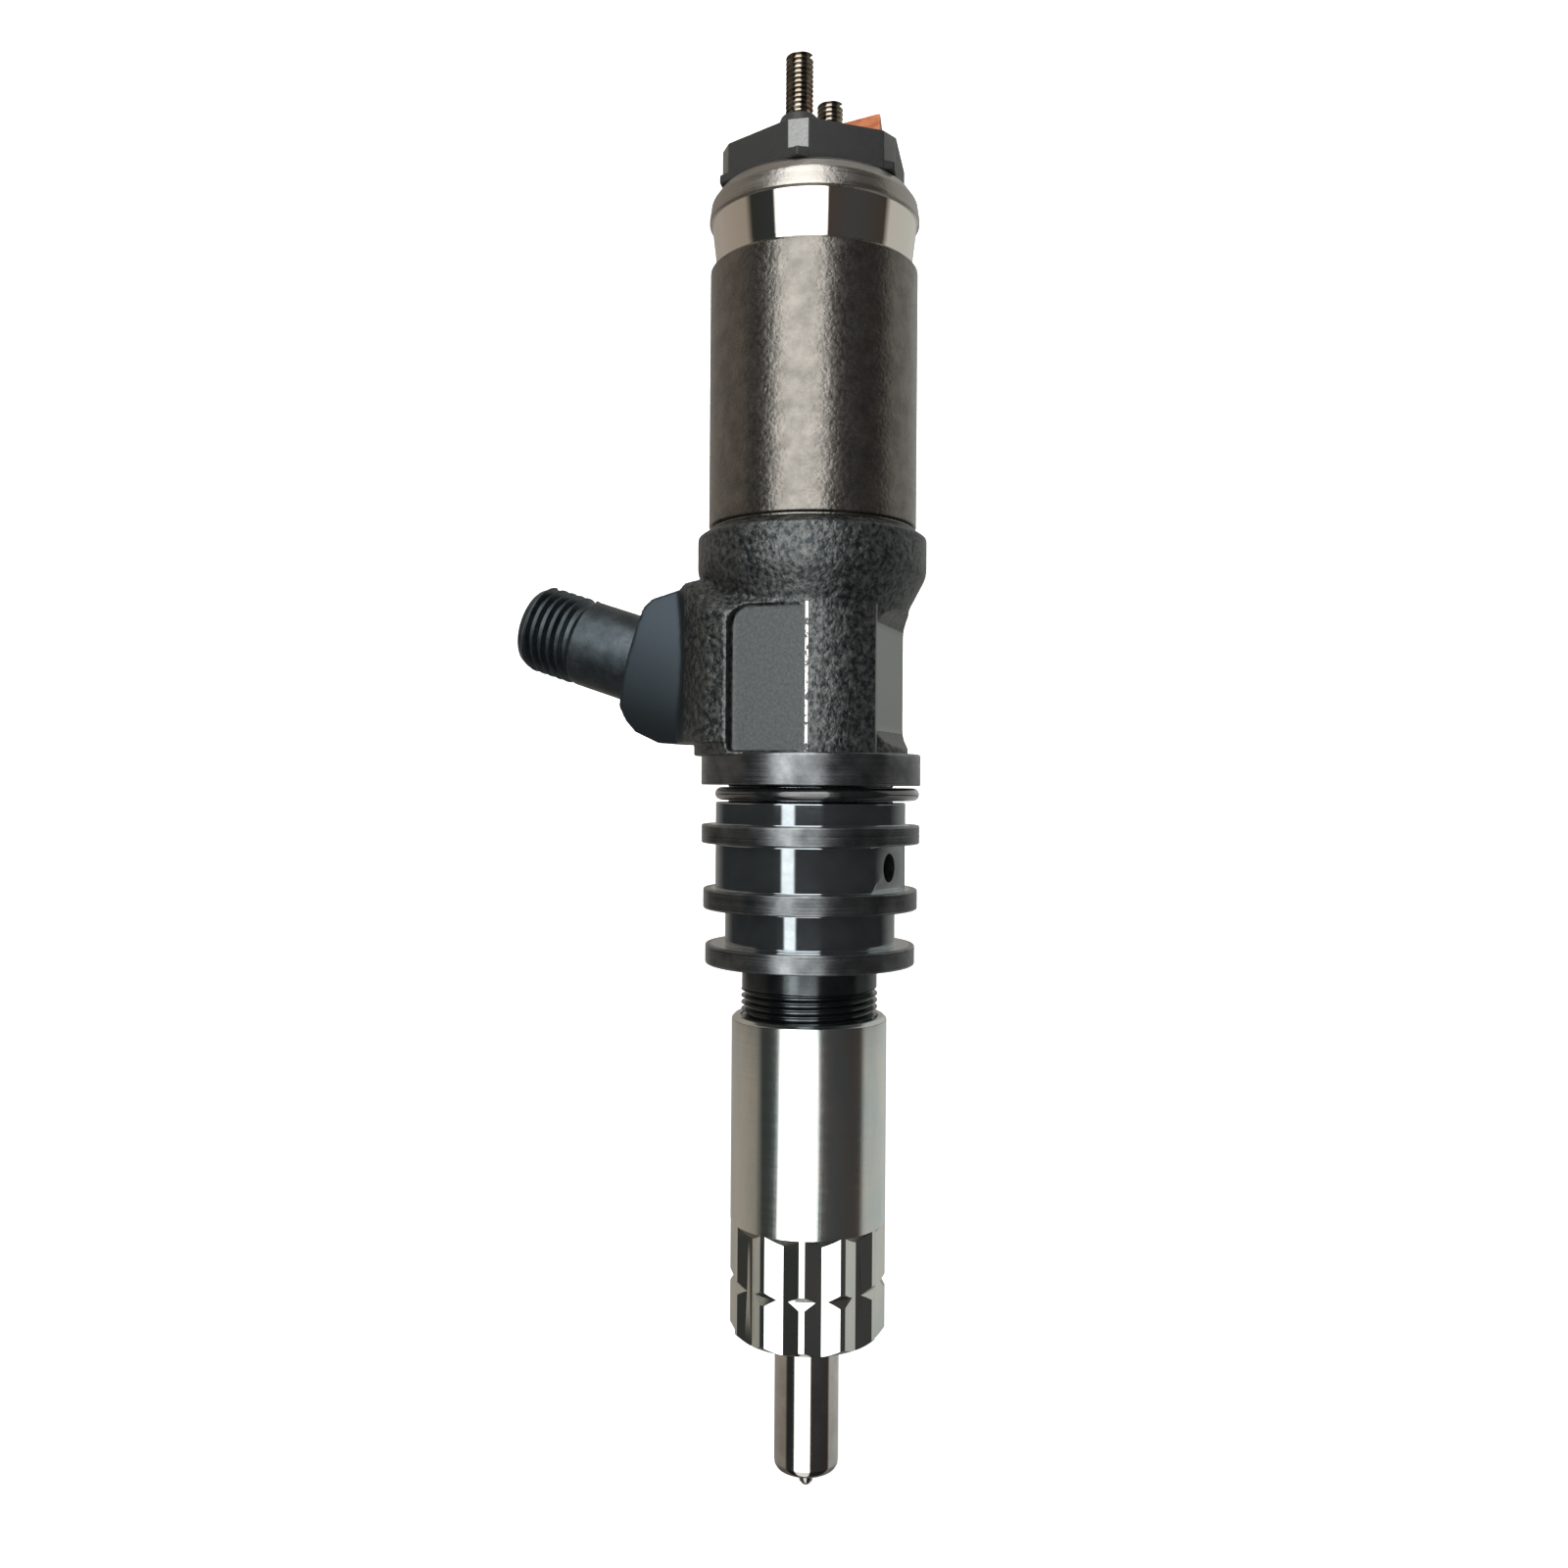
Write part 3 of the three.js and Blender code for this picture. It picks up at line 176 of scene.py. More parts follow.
def rounded(points, closed):
    """The outline with each corner that has a third number rounded to that radius.

    A support point beside each rounding keeps the long faces next to it flat in the shading.
    """
    result = []
    count = len(points)
    for i, (r, z, *fillet) in enumerate(points):
        ends = not closed and i in (0, count - 1)
        if not fillet or ends:
            result.append((r, z))
            continue
        corner = Vector((r, z))
        before = Vector(points[i - 1][:2]) - corner
        after = Vector(points[(i + 1) % count][:2]) - corner
        half = before.angle(after) / 2
        reach = min(fillet[0] / math.tan(half), 0.45 * before.length, 0.45 * after.length)
        start, end = corner + before.normalized() * reach, corner + after.normalized() * reach
        support = min(SUPPORT, 0.04 * min(before.length, after.length))
        result.append((start + before.normalized() * support).to_tuple())
        for step in range(5):
            t = step / 4
            point = start * (1 - t) ** 2 + corner * 2 * t * (1 - t) + end * t * t
            result.append((point.x, point.y))
        result.append((end + after.normalized() * support).to_tuple())
    return result


def drawn(name, outline, closed, plane="XZ", level=0):
    """Draws an outline vertex by vertex, in X and Z or in X and Y, and leaves it in edit mode."""
    bpy.ops.mesh.primitive_plane_add(size=MM, location=(0, 0, 0))
    obj = bpy.context.object
    obj.name = name
    edit(obj)
    bpy.ops.mesh.merge(type="CENTER")
    upright = plane == "XZ"
    path = [Vector((a, level, b) if upright else (a, b, level)) * MM for a, b in outline]
    if closed:
        path.append(path[0])
    bpy.ops.transform.translate(value=path[0])
    for here, following in zip(path, path[1:]):
        bpy.ops.mesh.extrude_vertices_move(TRANSFORM_OT_translate={"value": following - here})
    bpy.ops.mesh.select_all(action="SELECT")
    bpy.ops.mesh.remove_doubles(threshold=WELD)
    return obj


def turned(name, points, steps=STEPS, axis_to_axis=False):
    """Draws an outline of (radius, height, rounding) and spins it round Z."""
    obj = drawn(name, rounded(points, not axis_to_axis), not axis_to_axis)
    bpy.ops.mesh.spin(steps=steps, angle=2 * math.pi, center=(0, 0, 0), axis=(0, 0, 1))
    bpy.ops.mesh.select_all(action="SELECT")
    bpy.ops.mesh.remove_doubles(threshold=WELD)
    bpy.ops.mesh.normals_make_consistent(inside=False)
    return done(obj)


def prism(name, points, low, high, plane="XY"):
    """Extrudes a flat outline: upwards in Z, or along Y when it is drawn in X and Z."""
    obj = drawn(name, points, True, plane, low)
    bpy.ops.mesh.edge_face_add()
    rise = (high - low) * MM
    step = (0, 0, rise) if plane == "XY" else (0, rise, 0)
    bpy.ops.mesh.extrude_region_move(TRANSFORM_OT_translate={"value": step})
    bpy.ops.mesh.select_all(action="SELECT")
    bpy.ops.mesh.normals_make_consistent(inside=False)
    return done(obj)


def bar(name, radius, low, high, sides=48):
    """A round bar about Z with flat ends, for cutting and for melting into a body."""
    return turned(name, [(0, low), (radius, low), (radius, high), (0, high)], sides, True)


def wound(obj, pitch, turns, steps):
    """Sweeps a drawn section up a helix about Z and closes both ends."""
    only(obj)
    apply(obj, "SCREW", angle=2 * math.pi, screw_offset=pitch * MM, iterations=turns, steps=steps,
          render_steps=steps, axis="Z", use_merge_vertices=False)
    edit(obj)
    bpy.ops.mesh.select_all(action="DESELECT")
    bpy.ops.mesh.select_non_manifold()
    bpy.ops.mesh.fill_holes(sides=0)
    bpy.ops.mesh.select_all(action="SELECT")
    bpy.ops.mesh.normals_make_consistent(inside=False)
    return done(obj)


def thread(name, root, crest, pitch, low, high, sides=96):
    """A helical thread of trapezoid section."""
    flank = (crest - root) * 0.62
    land = pitch * 0.1
    inner = root - 0.25
    section = [(inner, low), (inner, low + 2 * flank + land),
               (crest, low + flank + land), (crest, low + flank)]
    turns = max(1, math.floor((high - low) / pitch))
    return wound(drawn(name, section, True), pitch, turns, sides)


def joined(name, *objects):
    """Several closed shells as one piece."""
    only(objects[0])
    for obj in objects[1:]:
        obj.select_set(True)
    bpy.ops.object.join()
    objects[0].name = name
    return objects[0]


def tilt_to_inlet(obj):
    """Lays a piece that was drawn upright about Z onto the inlet's axis."""
    turn = Matrix.Rotation(INLET_TILT - math.pi / 2, 4, "Y")
    obj.matrix_world = Matrix.Translation((0, 0, INLET_Z * MM)) @ turn
    bpy.context.view_layer.update()
    return done(obj)


def show(obj, node, material, body="injector"):
    """Finishes a piece: its material, the body it moves with and the CAD node it stands for."""
    obj.data.materials.clear()
    obj.data.materials.append(material)
    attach(obj, body)
    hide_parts(node)
    return obj


# ---- Body ----

def machined_body():
    """The turned lower end: thread, neck, three lands with their grooves, and the collar."""
    e = 0.28
    points = [(THREAD_R - 0.75, body_low.z), (THREAD_R - 0.75, THREAD_END - 0.5), (NECK_R, THREAD_END + 0.1, 0.1)]
    for (radius, foot, height), groove in zip(LANDS, GROOVE_R):
        inner = NECK_R if foot == LANDS[0][1] else points[-1][0]
        points += [(inner, foot, 0.3), (radius, foot, e), (radius, foot + height, e), (groove, foot + height, 0.12)]
    seat = COLLAR_FOOT - SEAL_SEAT_HEIGHT
    points += [(GROOVE_R[2], seat, 0.2), (SEAL_SEAT_R, seat, 0.2), (SEAL_SEAT_R, COLLAR_FOOT, 0.2)]
    points += [(COLLAR_R, COLLAR_FOOT, e), (COLLAR_R, COLLAR_TOP, 0.4)]
    points += [(2.6, COLLAR_TOP), (2.6, body_low.z + 25.5), (4.7, body_low.z + 25.5), (4.7, body_low.z)]
    body = turned("machined_body", points)
    flat = prism("port_flat", [(PORT_FLAT, LANDS[1][1] + 3.0), (19, LANDS[1][1] + 3.0),
                               (19, LANDS[2][1]), (PORT_FLAT, LANDS[2][1])], -9, 9, "XZ")
    flat.rotation_euler.z = -PORT_TURN
    combine(body, done(flat))
    port = bar("port", 2.1, 3, 20)
    turn = Matrix.Rotation(-PORT_TURN, 4, "Z") @ Matrix.Rotation(math.pi / 2, 4, "Y")
    port.matrix_world = Matrix.Translation((0, 0, PORT_Z * MM)) @ turn
    bpy.context.view_layer.update()
    combine(body, done(port))
    done(body)
    turns = thread("body_thread", THREAD_R - 0.75, THREAD_R, 1.0, NUT_TOP - 2.3, THREAD_END - 0.3)
    return joined("machined_body", body, turns)


def boss_outline():
    """Side view of the inlet boss: points along and across the inlet's axis, turned into X and Z."""
    along_across = ((20.5, -10.8), (24.5, -10.3), (26.2, -9.0), (BOSS_REACH, -7.1),
                    (BOSS_REACH, 8.2), (26.6, 9.8), (20.9, 13.9), (15.2, 18.0))
    cos, sin = math.cos(INLET_TILT), math.sin(INLET_TILT)
    tilted = [(-(s * cos - off * sin), INLET_Z + s * sin + off * cos) for s, off in along_across]
    return [(3, COLLAR_TOP + 1.1)] + tilted + [(3, HOUSING_FOOT - 3)]


def boss_root():
    """The broad root that joins the boss to the waist and stands on the collar."""
    half = ((0, 14.4), (2.5, 15.1), (5, 15.6), (8, 15.9), (11, 15.2), (13.6, 13.3), (16, 10.8), (18, 8.4), (19, 6.5))
    plan = [(-along, -aside) for along, aside in half] + [(-along, aside) for along, aside in reversed(half)]
    upper = prism("boss_root", plan, COLLAR_FOOT, HOUSING_FOOT - 4)
    combine(upper, prism("profile", boss_outline(), -20, 20, "XZ"), "INTERSECT")
    crown = bar("crown", 19.4, -30, 30, 128)
    crown.rotation_euler.y = math.pi / 2
    crown.location.z = (INLET_Z + 22.4 - 19.4) * MM
    combine(upper, done(crown), "INTERSECT")
    foot = prism("root_foot", plan, COLLAR_TOP - 0.4, INLET_Z)
    combine(foot, bar("round", 17.5, COLLAR_TOP - 1, INLET_Z + 1, 96), "INTERSECT")
    return combine(upper, foot, "UNION")


def forged_body():
    """The forged waist, boss and head, melted together with small fillets."""
    waist = turned("forged_body", [(0, COLLAR_TOP - 0.4), (WAIST_R, COLLAR_TOP - 0.4), (WAIST_R, FLARE_FOOT, 1.5),
                                   (HEAD_R, FLARE_TOP - 0.6, 4), (HEAD_R, HOUSING_FOOT - 1.2, 0.3),
                                   (HOUSING_R - 0.2, HOUSING_FOOT), (0, HOUSING_FOOT)], 96, True)
    boss = prism("boss", boss_outline(), -9.8, 9.8, "XZ")
    barrel = bar("barrel", 9.8, 2, BOSS_REACH + 3, 96)
    barrel.scale = (16 / 9.8, 1, 1)
    barrel.location.x = 3 * MM
    combine(boss, tilt_to_inlet(done(barrel)), "INTERSECT")
    combine(waist, boss, "UNION")
    combine(waist, boss_root(), "UNION")
    for side in (-1, 1):
        combine(waist, clamp_cutter(side))
    combine(waist, side_cutter())
    apply(waist, "REMESH", mode="VOXEL", voxel_size=0.26 * MM, use_smooth_shade=True)
    apply(waist, "SMOOTH", factor=0.5, iterations=4)
    combine(waist, bar("well", 8.1, HOUSING_FOOT - 8.2, HOUSING_FOOT + 3))
    combine(waist, bar("passage", 2.6, COLLAR_TOP - 3, HOUSING_FOOT))
    return done(waist, 40)


def corner_points(x, z, radius, start):
    """A quarter turn round a corner's centre, starting at an angle in degrees."""
    angles = [math.radians(start + 15 * i) for i in range(7)]
    return [(x + radius * math.cos(a), z + radius * math.sin(a)) for a in angles]


def clamp_cutter(side):
    """Cuts a clamp flat: square at the collar and rounded at both top corners."""
    low, high, corner = COLLAR_TOP, FLARE_FOOT - 0.6, 3
    points = [(FLAT_END, low)] + corner_points(FLAT_END - corner, high - corner, corner, 0)
    points += corner_points(corner - FLAT_REACH, high - corner, corner, 90)
    points += corner_points(0.8 - FLAT_REACH, low + 0.8, 0.8, 180)
    near, far = sorted((side * CLAMP_FLAT, side * 24))
    return prism("clamp_cutter", points, near, far, "XZ")


def side_cutter():
    low, high = COLLAR_TOP + 0.8, FLARE_FOOT - 0.5
    points = [(24, low), (24, high)]
    points += corner_points(SIDE_FLAT + 3, high - 3, 3, 90)
    points += corner_points(SIDE_FLAT + 3, low + 3, 3, 180)
    return prism("side_cutter", points, -20, 20, "XZ")


def inlet_connector():
    foot, end = BOSS_REACH + 0.3, BOSS_REACH + 21.1
    thread_foot, thread_end = foot + 11.7, end - 1.3
    root = SHANK_R - 0.85
    shank = turned("inlet_connector", [
        (5.5, foot - 9.8, 0.3), (5.5, foot - 0.4), (SHANK_R + 0.1, foot - 0.4, 0.1), (SHANK_R + 0.1, foot + 0.5, 0.2),
        (SHANK_R - 0.1, foot + 0.8), (SHANK_R - 0.1, thread_foot - 0.5, 0.4), (root, thread_foot + 0.3, 0.3),
        (root, thread_end - 0.2), (SHANK_R - 0.15, thread_end + 0.1, 0.2), (6.1, end, 0.25), (4.6, end, 0.25), (2.2, end - 2.4),
        (2.2, foot - 9.8, 0.2)])
    turns = thread("inlet_thread", root, SHANK_R, PITCH, thread_foot - 0.2, thread_end - 0.1)
    return tilt_to_inlet(joined("inlet_connector", shank, turns))


# ---- Nozzle ----

def twelve_points(valley, count=24):
    """The outline of two hexagons, one turned by half a step, from the radius of its valleys."""
    crest = valley * math.cos(math.pi / 12) / math.cos(math.pi / 6)
    radii = [valley if i % 2 else crest for i in range(count)]
    turns = [DRIVE_TURN + 2 * math.pi * i / count for i in range(count)]
    return [(r * math.cos(a), r * math.sin(a)) for r, a in zip(radii, turns)]


def nozzle_nut():
    groove = 7.8
    body = turned("nozzle_nut", [
        (4.9, 0, 0.2), (NUT_R - 0.9, 0, 0.25), (NUT_R, 0.8, 0.15), (NUT_R, groove - 0.95, 0.05), (NUT_R - 0.75, groove, 0.05),
        (NUT_R, groove + 0.95, 0.05), (NUT_R, NUT_TOP - 0.5, 0.3), (NUT_R - 0.5, NUT_TOP, 0.2), (THREAD_R + 0.1, NUT_TOP, 0.1),
        (THREAD_R + 0.1, body_low.z), (9.3, body_low.z), (9.3, 2.6), (4.9, 2.6)])
    ring = turned("drive_cutter", [(9.7, -2), (NUT_R + 3, -2), (NUT_R + 3, 20.3), (9.7, 14.5)])
    star = prism("star", twelve_points(NUT_R - DRIVE_DEPTH), -4, 30)
    combine(ring, star)
    combine(body, ring)
    return done(body, 25)


def nozzle_body():
    stem_foot = stem_low.z + 2.8
    points = [(0, stem_low.z), (0.55, stem_low.z + 0.12), (0.95, stem_low.z + 0.6), (1.05, stem_low.z + 1.1),
              (1.05, stem_foot - 0.1, 0.2), (1.5, stem_foot, 0.2), (4.8, stem_foot, 1.2), (4.8, 2.6),
              (9.25, 2.6, 0.3), (9.25, 21, 0.2), (2.02, 21), (2.02, 8.2), (3.3, 8.2), (3.3, 4.2),
              (2.3, 4.2), (2.3, stem_foot + 3.9), (0.5, stem_foot + 1), (0.5, stem_low.z + 0.9), (0, stem_low.z + 0.6)]
    body = turned("nozzle_body", points, axis_to_axis=True)
    return body


# ---- Solenoid ----

def solenoid_housing():
    r, bore, low, high = HOUSING_R, HOUSING_R - 2.2, HOUSING_FOOT, BAND_FOOT
    return turned("solenoid_housing", [
        (bore, low + 0.05), (r - 0.5, low + 0.05, 0.1), (r - 0.5, low + 0.35, 0.1), (r, low + 0.6, 0.25), (r, high - 0.5, 0.3),
        (r - 0.6, high, 0.2), (r - 1.1, high), (r - 1.1, high + 4.6), (bore, high + 4.6)])


def retaining_ring():
    r, low, top = HOUSING_R, BAND_FOOT, CAP_FOOT
    return turned("retaining_ring", [
        (r - 1.08, low + 0.02), (r - 0.95, low + 0.02, 0.1), (r - 0.9, low + 0.7, 0.6), (r - 0.2, low + 6.6, 0.06),
        (r + 0.2, low + 6.85, 0.08), (r + 0.2, low + 7.3, 0.5), (r - 0.1, low + 9.4, 1.2),
        (r - 1.1, top - 0.5, 0.6), (r - 1.7, top, 0.3), (11.45, top), (11.45, low + 4.65), (r - 1.08, low + 4.65)])


def solenoid_cap():
    """The cap: a hexagon with its corners cut, on a neck that passes through the ring."""
    turn, corner, facet = math.radians(-82), 14.87, 14.0
    corners = []
    for i in range(6):
        angle = turn + i * math.pi / 3
        corners.append((corner * math.cos(angle), corner * math.sin(angle)))
    head = prism("solenoid_cap", corners, CAP_FOOT, CAP_TOP)
    for i in range(6):
        cutter = prism("facet", [(facet, -4), (17, -4), (17, 4), (facet, 4)], CAP_TOP - 4.2, CAP_TOP + 2)
        cutter.rotation_euler.z = turn + i * math.pi / 3
        combine(head, done(cutter))
    apply(head, "BEVEL", width=0.2 * MM, segments=3, limit_method="ANGLE", angle_limit=math.radians(25))
    neck = turned("neck", [(10.8, 153.15), (13.25, 153.15, 0.2), (13.25, BAND_FOOT + 4.6, 0.2), (11.35, BAND_FOOT + 4.6),
                           (11.35, CAP_FOOT + 0.5), (0, CAP_FOOT + 0.5), (0, 159.9), (10.8, 159.9)], 96, True)
    combine(head, neck, "UNION")
    for y in (-STUD_Y, STUD_Y):
        hole = bar("hole", STUD_R + 0.03, 150, CAP_TOP + 3)
        hole.location.y = y * MM
        combine(head, done(hole))
    return done(head)


def terminal_stud(y):
    top, foot = stud_high.z, collar_high.z + 0.1
    root = STUD_R - 0.42
    core = turned("terminal_stud", [
        (0, stud_low.z), (3.0, stud_low.z, 0.2), (3.0, stud_low.z + 2, 0.2), (STUD_R, stud_low.z + 2),
        (STUD_R, foot, 0.2), (root, foot + 0.5), (root, top - 0.5, 0.15), (root - 0.25, top, 0.15), (0, top)], 64, True)
    turns = thread("stud_thread", root, STUD_R, STUD_PITCH, foot + 0.1, top - 0.35, 48)
    stud = joined("terminal_stud", core, turns)
    stud.location.y = y * MM
    return done(stud)


def stud_collar(y):
    top = collar_high.z
    collar = turned("stud_collar", [
        (STUD_R + 0.05, CAP_TOP, 0.02), (3.6, CAP_TOP, 0.1), (3.5, CAP_TOP + 0.6, 0.2), (2.7, top - 0.2, 0.2), (2.5, top, 0.1),
        (STUD_R + 0.05, top, 0.05)], 64)
    collar.location.y = y * MM
    return done(collar)


def resin_block():
    """Potting resin beside the studs, cast with a slightly uneven skin."""
    block = prism("resin_block", [(1.2, -3.2), (11.5, -5.2), (9.9, 2.8), (1.2, 3.4)], CAP_TOP, resin_high.z)
    apply(block, "BEVEL", width=0.3 * MM, segments=3, limit_method="ANGLE", angle_limit=math.radians(25))
    return done(block)


def body_seal():
    section = (seal_high.z - seal_low.z) / 2
    middle_z = (seal_high.z + seal_low.z) / 2
    shift = (seal_high.x + seal_low.x) / 2
    middle_r = (seal_high.x - seal_low.x) / 2 - section
    angles = [2 * math.pi * i / 24 for i in range(24)]
    ring = turned("body_seal", [(middle_r + section * math.cos(a), middle_z + section * math.sin(a)) for a in angles])
    ring.location.x = shift * MM
    return done(ring, 60)


def coil_spring(name, node, wire_r, turns):
    """A compression spring of round wire that fills the height of its CAD node."""
    low, high = node_mm(node)
    middle_r = (high.x - low.x) / 2 - wire_r
    angles = [math.radians(36 * i) for i in range(10)]
    section = [(middle_r + wire_r * math.cos(a), low.z + wire_r * (1 + math.sin(a))) for a in angles]
    pitch = (high.z - low.z - 2 * wire_r) / turns
    return wound(drawn(name, section, True), pitch, turns, 36)


def shorten(spring):
    """Gives a spring its own copy of its mesh."""
    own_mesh(spring)


# ---- Materials ----

def linear(code):
    """A colour's sRGB hex code as linear RGBA."""
    values = [int(code[i:i + 2], 16) / 255 for i in (1, 3, 5)]
    return [v / 12.92 if v <= 0.04045 else ((v + 0.055) / 1.055) ** 2.4 for v in values] + [1]


def add(tree, kind, inputs=(), **settings):
    """Adds one node, sets its properties, and sets or links its inputs."""
    made = tree.nodes.new(kind)
    for key, value in settings.items():
        setattr(made, key, value)
    for key, value in dict(inputs).items():
        if isinstance(value, bpy.types.NodeSocket):
            tree.links.new(value, made.inputs[key])
        else:
            made.inputs[key].default_value = value
    return made


def start(name, metallic, roughness, code, **sockets):
    """A material with its shader's constants set, and its tree and shader to build on."""
    material = bpy.data.materials.new(name)
    material.use_nodes = True
    tree = material.node_tree
    shader = tree.nodes["Principled BSDF"]
    shader.inputs["Metallic"].default_value = metallic
    shader.inputs["Roughness"].default_value = roughness
    shader.inputs["Base Color"].default_value = linear(code)
    for key, value in sockets.items():
        shader.inputs[key.replace("_", " ")].default_value = value
    coords = add(tree, "ShaderNodeTexCoord").outputs["Object"]
    return material, tree, shader, coords


def ramp(tree, factor, low, high, first, second):
    """A value or colour that goes from first to second as factor goes from low to high."""
    node = add(tree, "ShaderNodeValToRGB", {"Fac": factor})
    for element, place, colour in zip(node.color_ramp.elements, (low, high), (first, second)):
        element.position = place
        element.color = linear(colour) if isinstance(colour, str) else (colour, colour, colour, 1)
    return node.outputs["Color"]


def grain(tree, coords, size_mm, detail=3, stretch=(1, 1, 1), roughness=0.6):
    """Noise whose cells are about size_mm across, stretched along an axis where asked."""
    placed = add(tree, "ShaderNodeMapping", {"Vector": coords, "Scale": stretch})
    return add(tree, "ShaderNodeTexNoise", {"Vector": placed.outputs["Vector"], "Scale": 1000 / size_mm,
                                            "Detail": detail, "Roughness": roughness}).outputs["Fac"]


def bump(tree, shader, height, depth_mm, strength=1.0, under=None):
    inputs = {"Height": height, "Distance": depth_mm * MM, "Strength": strength}
    if under is not None:
        inputs["Normal"] = under
    node = add(tree, "ShaderNodeBump", inputs)
    tree.links.new(node.outputs["Normal"], shader.inputs["Normal"])
    return node.outputs["Normal"]


def turning_lines(tree, coords, pitch_mm):
    """Fine rings left by a lathe: noise squeezed hard along Z and stretched round the piece."""
    return grain(tree, coords, pitch_mm, 1, (0.006, 0.006, 1), 0.5)


def mixed(tree, factor, first, second):
    node = add(tree, "ShaderNodeMix", {"Factor": factor}, data_type="RGBA")
    for key, value in ((6, first), (7, second)):
        if isinstance(value, bpy.types.NodeSocket):
            tree.links.new(value, node.inputs[key])
        else:
            node.inputs[key].default_value = linear(value) if isinstance(value, str) else (value, value, value, 1)
    return node.outputs[2]


def radius_mask(tree, coords, edge_mm, soft_mm=0.1):
    """1 outside a cylinder about Z, 0 inside it."""
    flat = add(tree, "ShaderNodeVectorMath", {0: coords, 1: (1, 1, 0)}, operation="MULTIPLY")
    length = add(tree, "ShaderNodeVectorMath", {0: flat.outputs[0]}, operation="LENGTH")
    return add(tree, "ShaderNodeMapRange", {
        "Value": length.outputs["Value"], "From Min": (edge_mm - soft_mm) * MM,
        "From Max": (edge_mm + soft_mm) * MM}).outputs["Result"]


def height_mask(tree, coords, edge_mm, soft_mm=0.1):
    """0 below a height, 1 above it."""
    height = add(tree, "ShaderNodeSeparateXYZ", {0: coords}).outputs["Z"]
    return add(tree, "ShaderNodeMapRange", {
        "Value": height, "From Min": (edge_mm - soft_mm) * MM, "From Max": (edge_mm + soft_mm) * MM}).outputs["Result"]


def math_node(tree, operation, *values):
    return add(tree, "ShaderNodeMath", dict(enumerate(values)), operation=operation).outputs[0]


def split(tree, coords):
    """X, the distance from the plane Y = 0, and Z."""
    place = add(tree, "ShaderNodeSeparateXYZ", {0: coords})
    return place.outputs["X"], math_node(tree, "ABSOLUTE", place.outputs["Y"]), place.outputs["Z"]


def milled_flats(tree, coords):
    """Masks of the two clamp flats, of the side flat, and of the clamp flats' sharp upright edge."""
    x, y, z = split(tree, coords)
    below = math_node(tree, "LESS_THAN", z, (FLARE_FOOT - 0.4) * MM)
    near = math_node(tree, "GREATER_THAN", x, (0.25 - FLAT_REACH) * MM)
    clamp = math_node(tree, "MULTIPLY", math_node(tree, "COMPARE", y, CLAMP_FLAT * MM, 0.09 * MM), near)
    side = math_node(tree, "COMPARE", x, SIDE_FLAT * MM, 0.09 * MM)
    corner = math_node(tree, "COMPARE", y, (CLAMP_FLAT - 0.1) * MM, 0.3 * MM)
    edge = math_node(tree, "MULTIPLY", corner, math_node(tree, "COMPARE", x, FLAT_EDGE * MM, 0.2 * MM))
    return [math_node(tree, "MULTIPLY", mask, below) for mask in (clamp, side, edge)]


def black_oxide_forging():
    """Black-oxided forged steel: shot-blasted grain that glints, smoother where it is milled.

    The broken bright line on each clamp flat's sharp edge is a painted highlight; the side flat's pale colour is a
    painted reflection.
    """
    m, tree, shader, coords = start("black oxide forging", 0.9, 0.42, "#3a3e40")
    grit = grain(tree, coords, 0.8, 2)
    pits = grain(tree, coords, 1.8, 3)
    fine = grain(tree, coords, 0.45, 2)
    clamp, side, edge = milled_flats(tree, coords)
    x = split(tree, coords)[0]
    spot = math_node(tree, "LESS_THAN", x, -16.4 * MM)
    flat = math_node(tree, "MAXIMUM", math_node(tree, "MAXIMUM", clamp, side), spot)
    # Painted highlight: a broken bright line where light catches the clamp flats' sharp edge.
    edge_glint = math_node(tree, "MULTIPLY", edge, ramp(tree, grit, 0.42, 0.5, 0, 1))
    colour = mixed(tree, ramp(tree, grit, 0.35, 0.7, 0, 1), "#313638", "#6a6c6a")
    milled = mixed(tree, ramp(tree, fine, 0.35, 0.65, 0, 1), "#46494a", "#525555")
    # Painted reflection: the side flat is the same milled oxide as the clamp flats, coloured much paler to paint in the
    # light it reflects.
    smooth = mixed(tree, side, mixed(tree, spot, milled, "#394146"), "#8d908e")
    rest = mixed(tree, flat, colour, smooth)
    # The pale colour laid on that edge is the painted highlight.
    tree.links.new(mixed(tree, edge_glint, rest, "#d6d4cd"), shader.inputs["Base Color"])
    rough = mixed(tree, flat, ramp(tree, grit, 0.3, 0.75, 0.34, 0.5), 0.44)
    tree.links.new(mixed(tree, edge_glint, rough, 0.3), shader.inputs["Roughness"])
    height = math_node(tree, "ADD", grit, pits)
    calm = math_node(tree, "MULTIPLY", height, mixed(tree, flat, 1.0, 0.06))
    bump(tree, shader, calm, 0.2, 0.9)
    return m


def black_oxide_turned():
    """Black-oxided turned steel: brushed lands, groove floors ground to a gloss and a dull neck."""
    m, tree, shader, coords = start("black oxide turned", 0.95, 0.35, "#4a4d4e")
    outside = radius_mask(tree, coords, 14.9)
    ground = radius_mask(tree, coords, 11.5)
    lines = turning_lines(tree, coords, 0.25)
    cloud = grain(tree, coords, 2.5, 3)
    shade = ramp(tree, cloud, 0.35, 0.7, 0, 1)
    land = mixed(tree, shade, "#5d6061", "#7d8081")
    floor = mixed(tree, shade, "#878e91", "#979ea1")
    dull = mixed(tree, ground, mixed(tree, shade, "#484d4f", "#5a5f60"), floor)
    tree.links.new(mixed(tree, outside, dull, land), shader.inputs["Base Color"])
    bright = mixed(tree, ground, 0.17, 0.07)
    tree.links.new(mixed(tree, outside, bright, ramp(tree, lines, 0.3, 0.7, 0.2, 0.3)), shader.inputs["Roughness"])
    low = bump(tree, shader, lines, 0.003, 0.4)
    bump(tree, shader, cloud, 0.03, mixed(tree, outside, 0.04, 0.2), low)
    return m


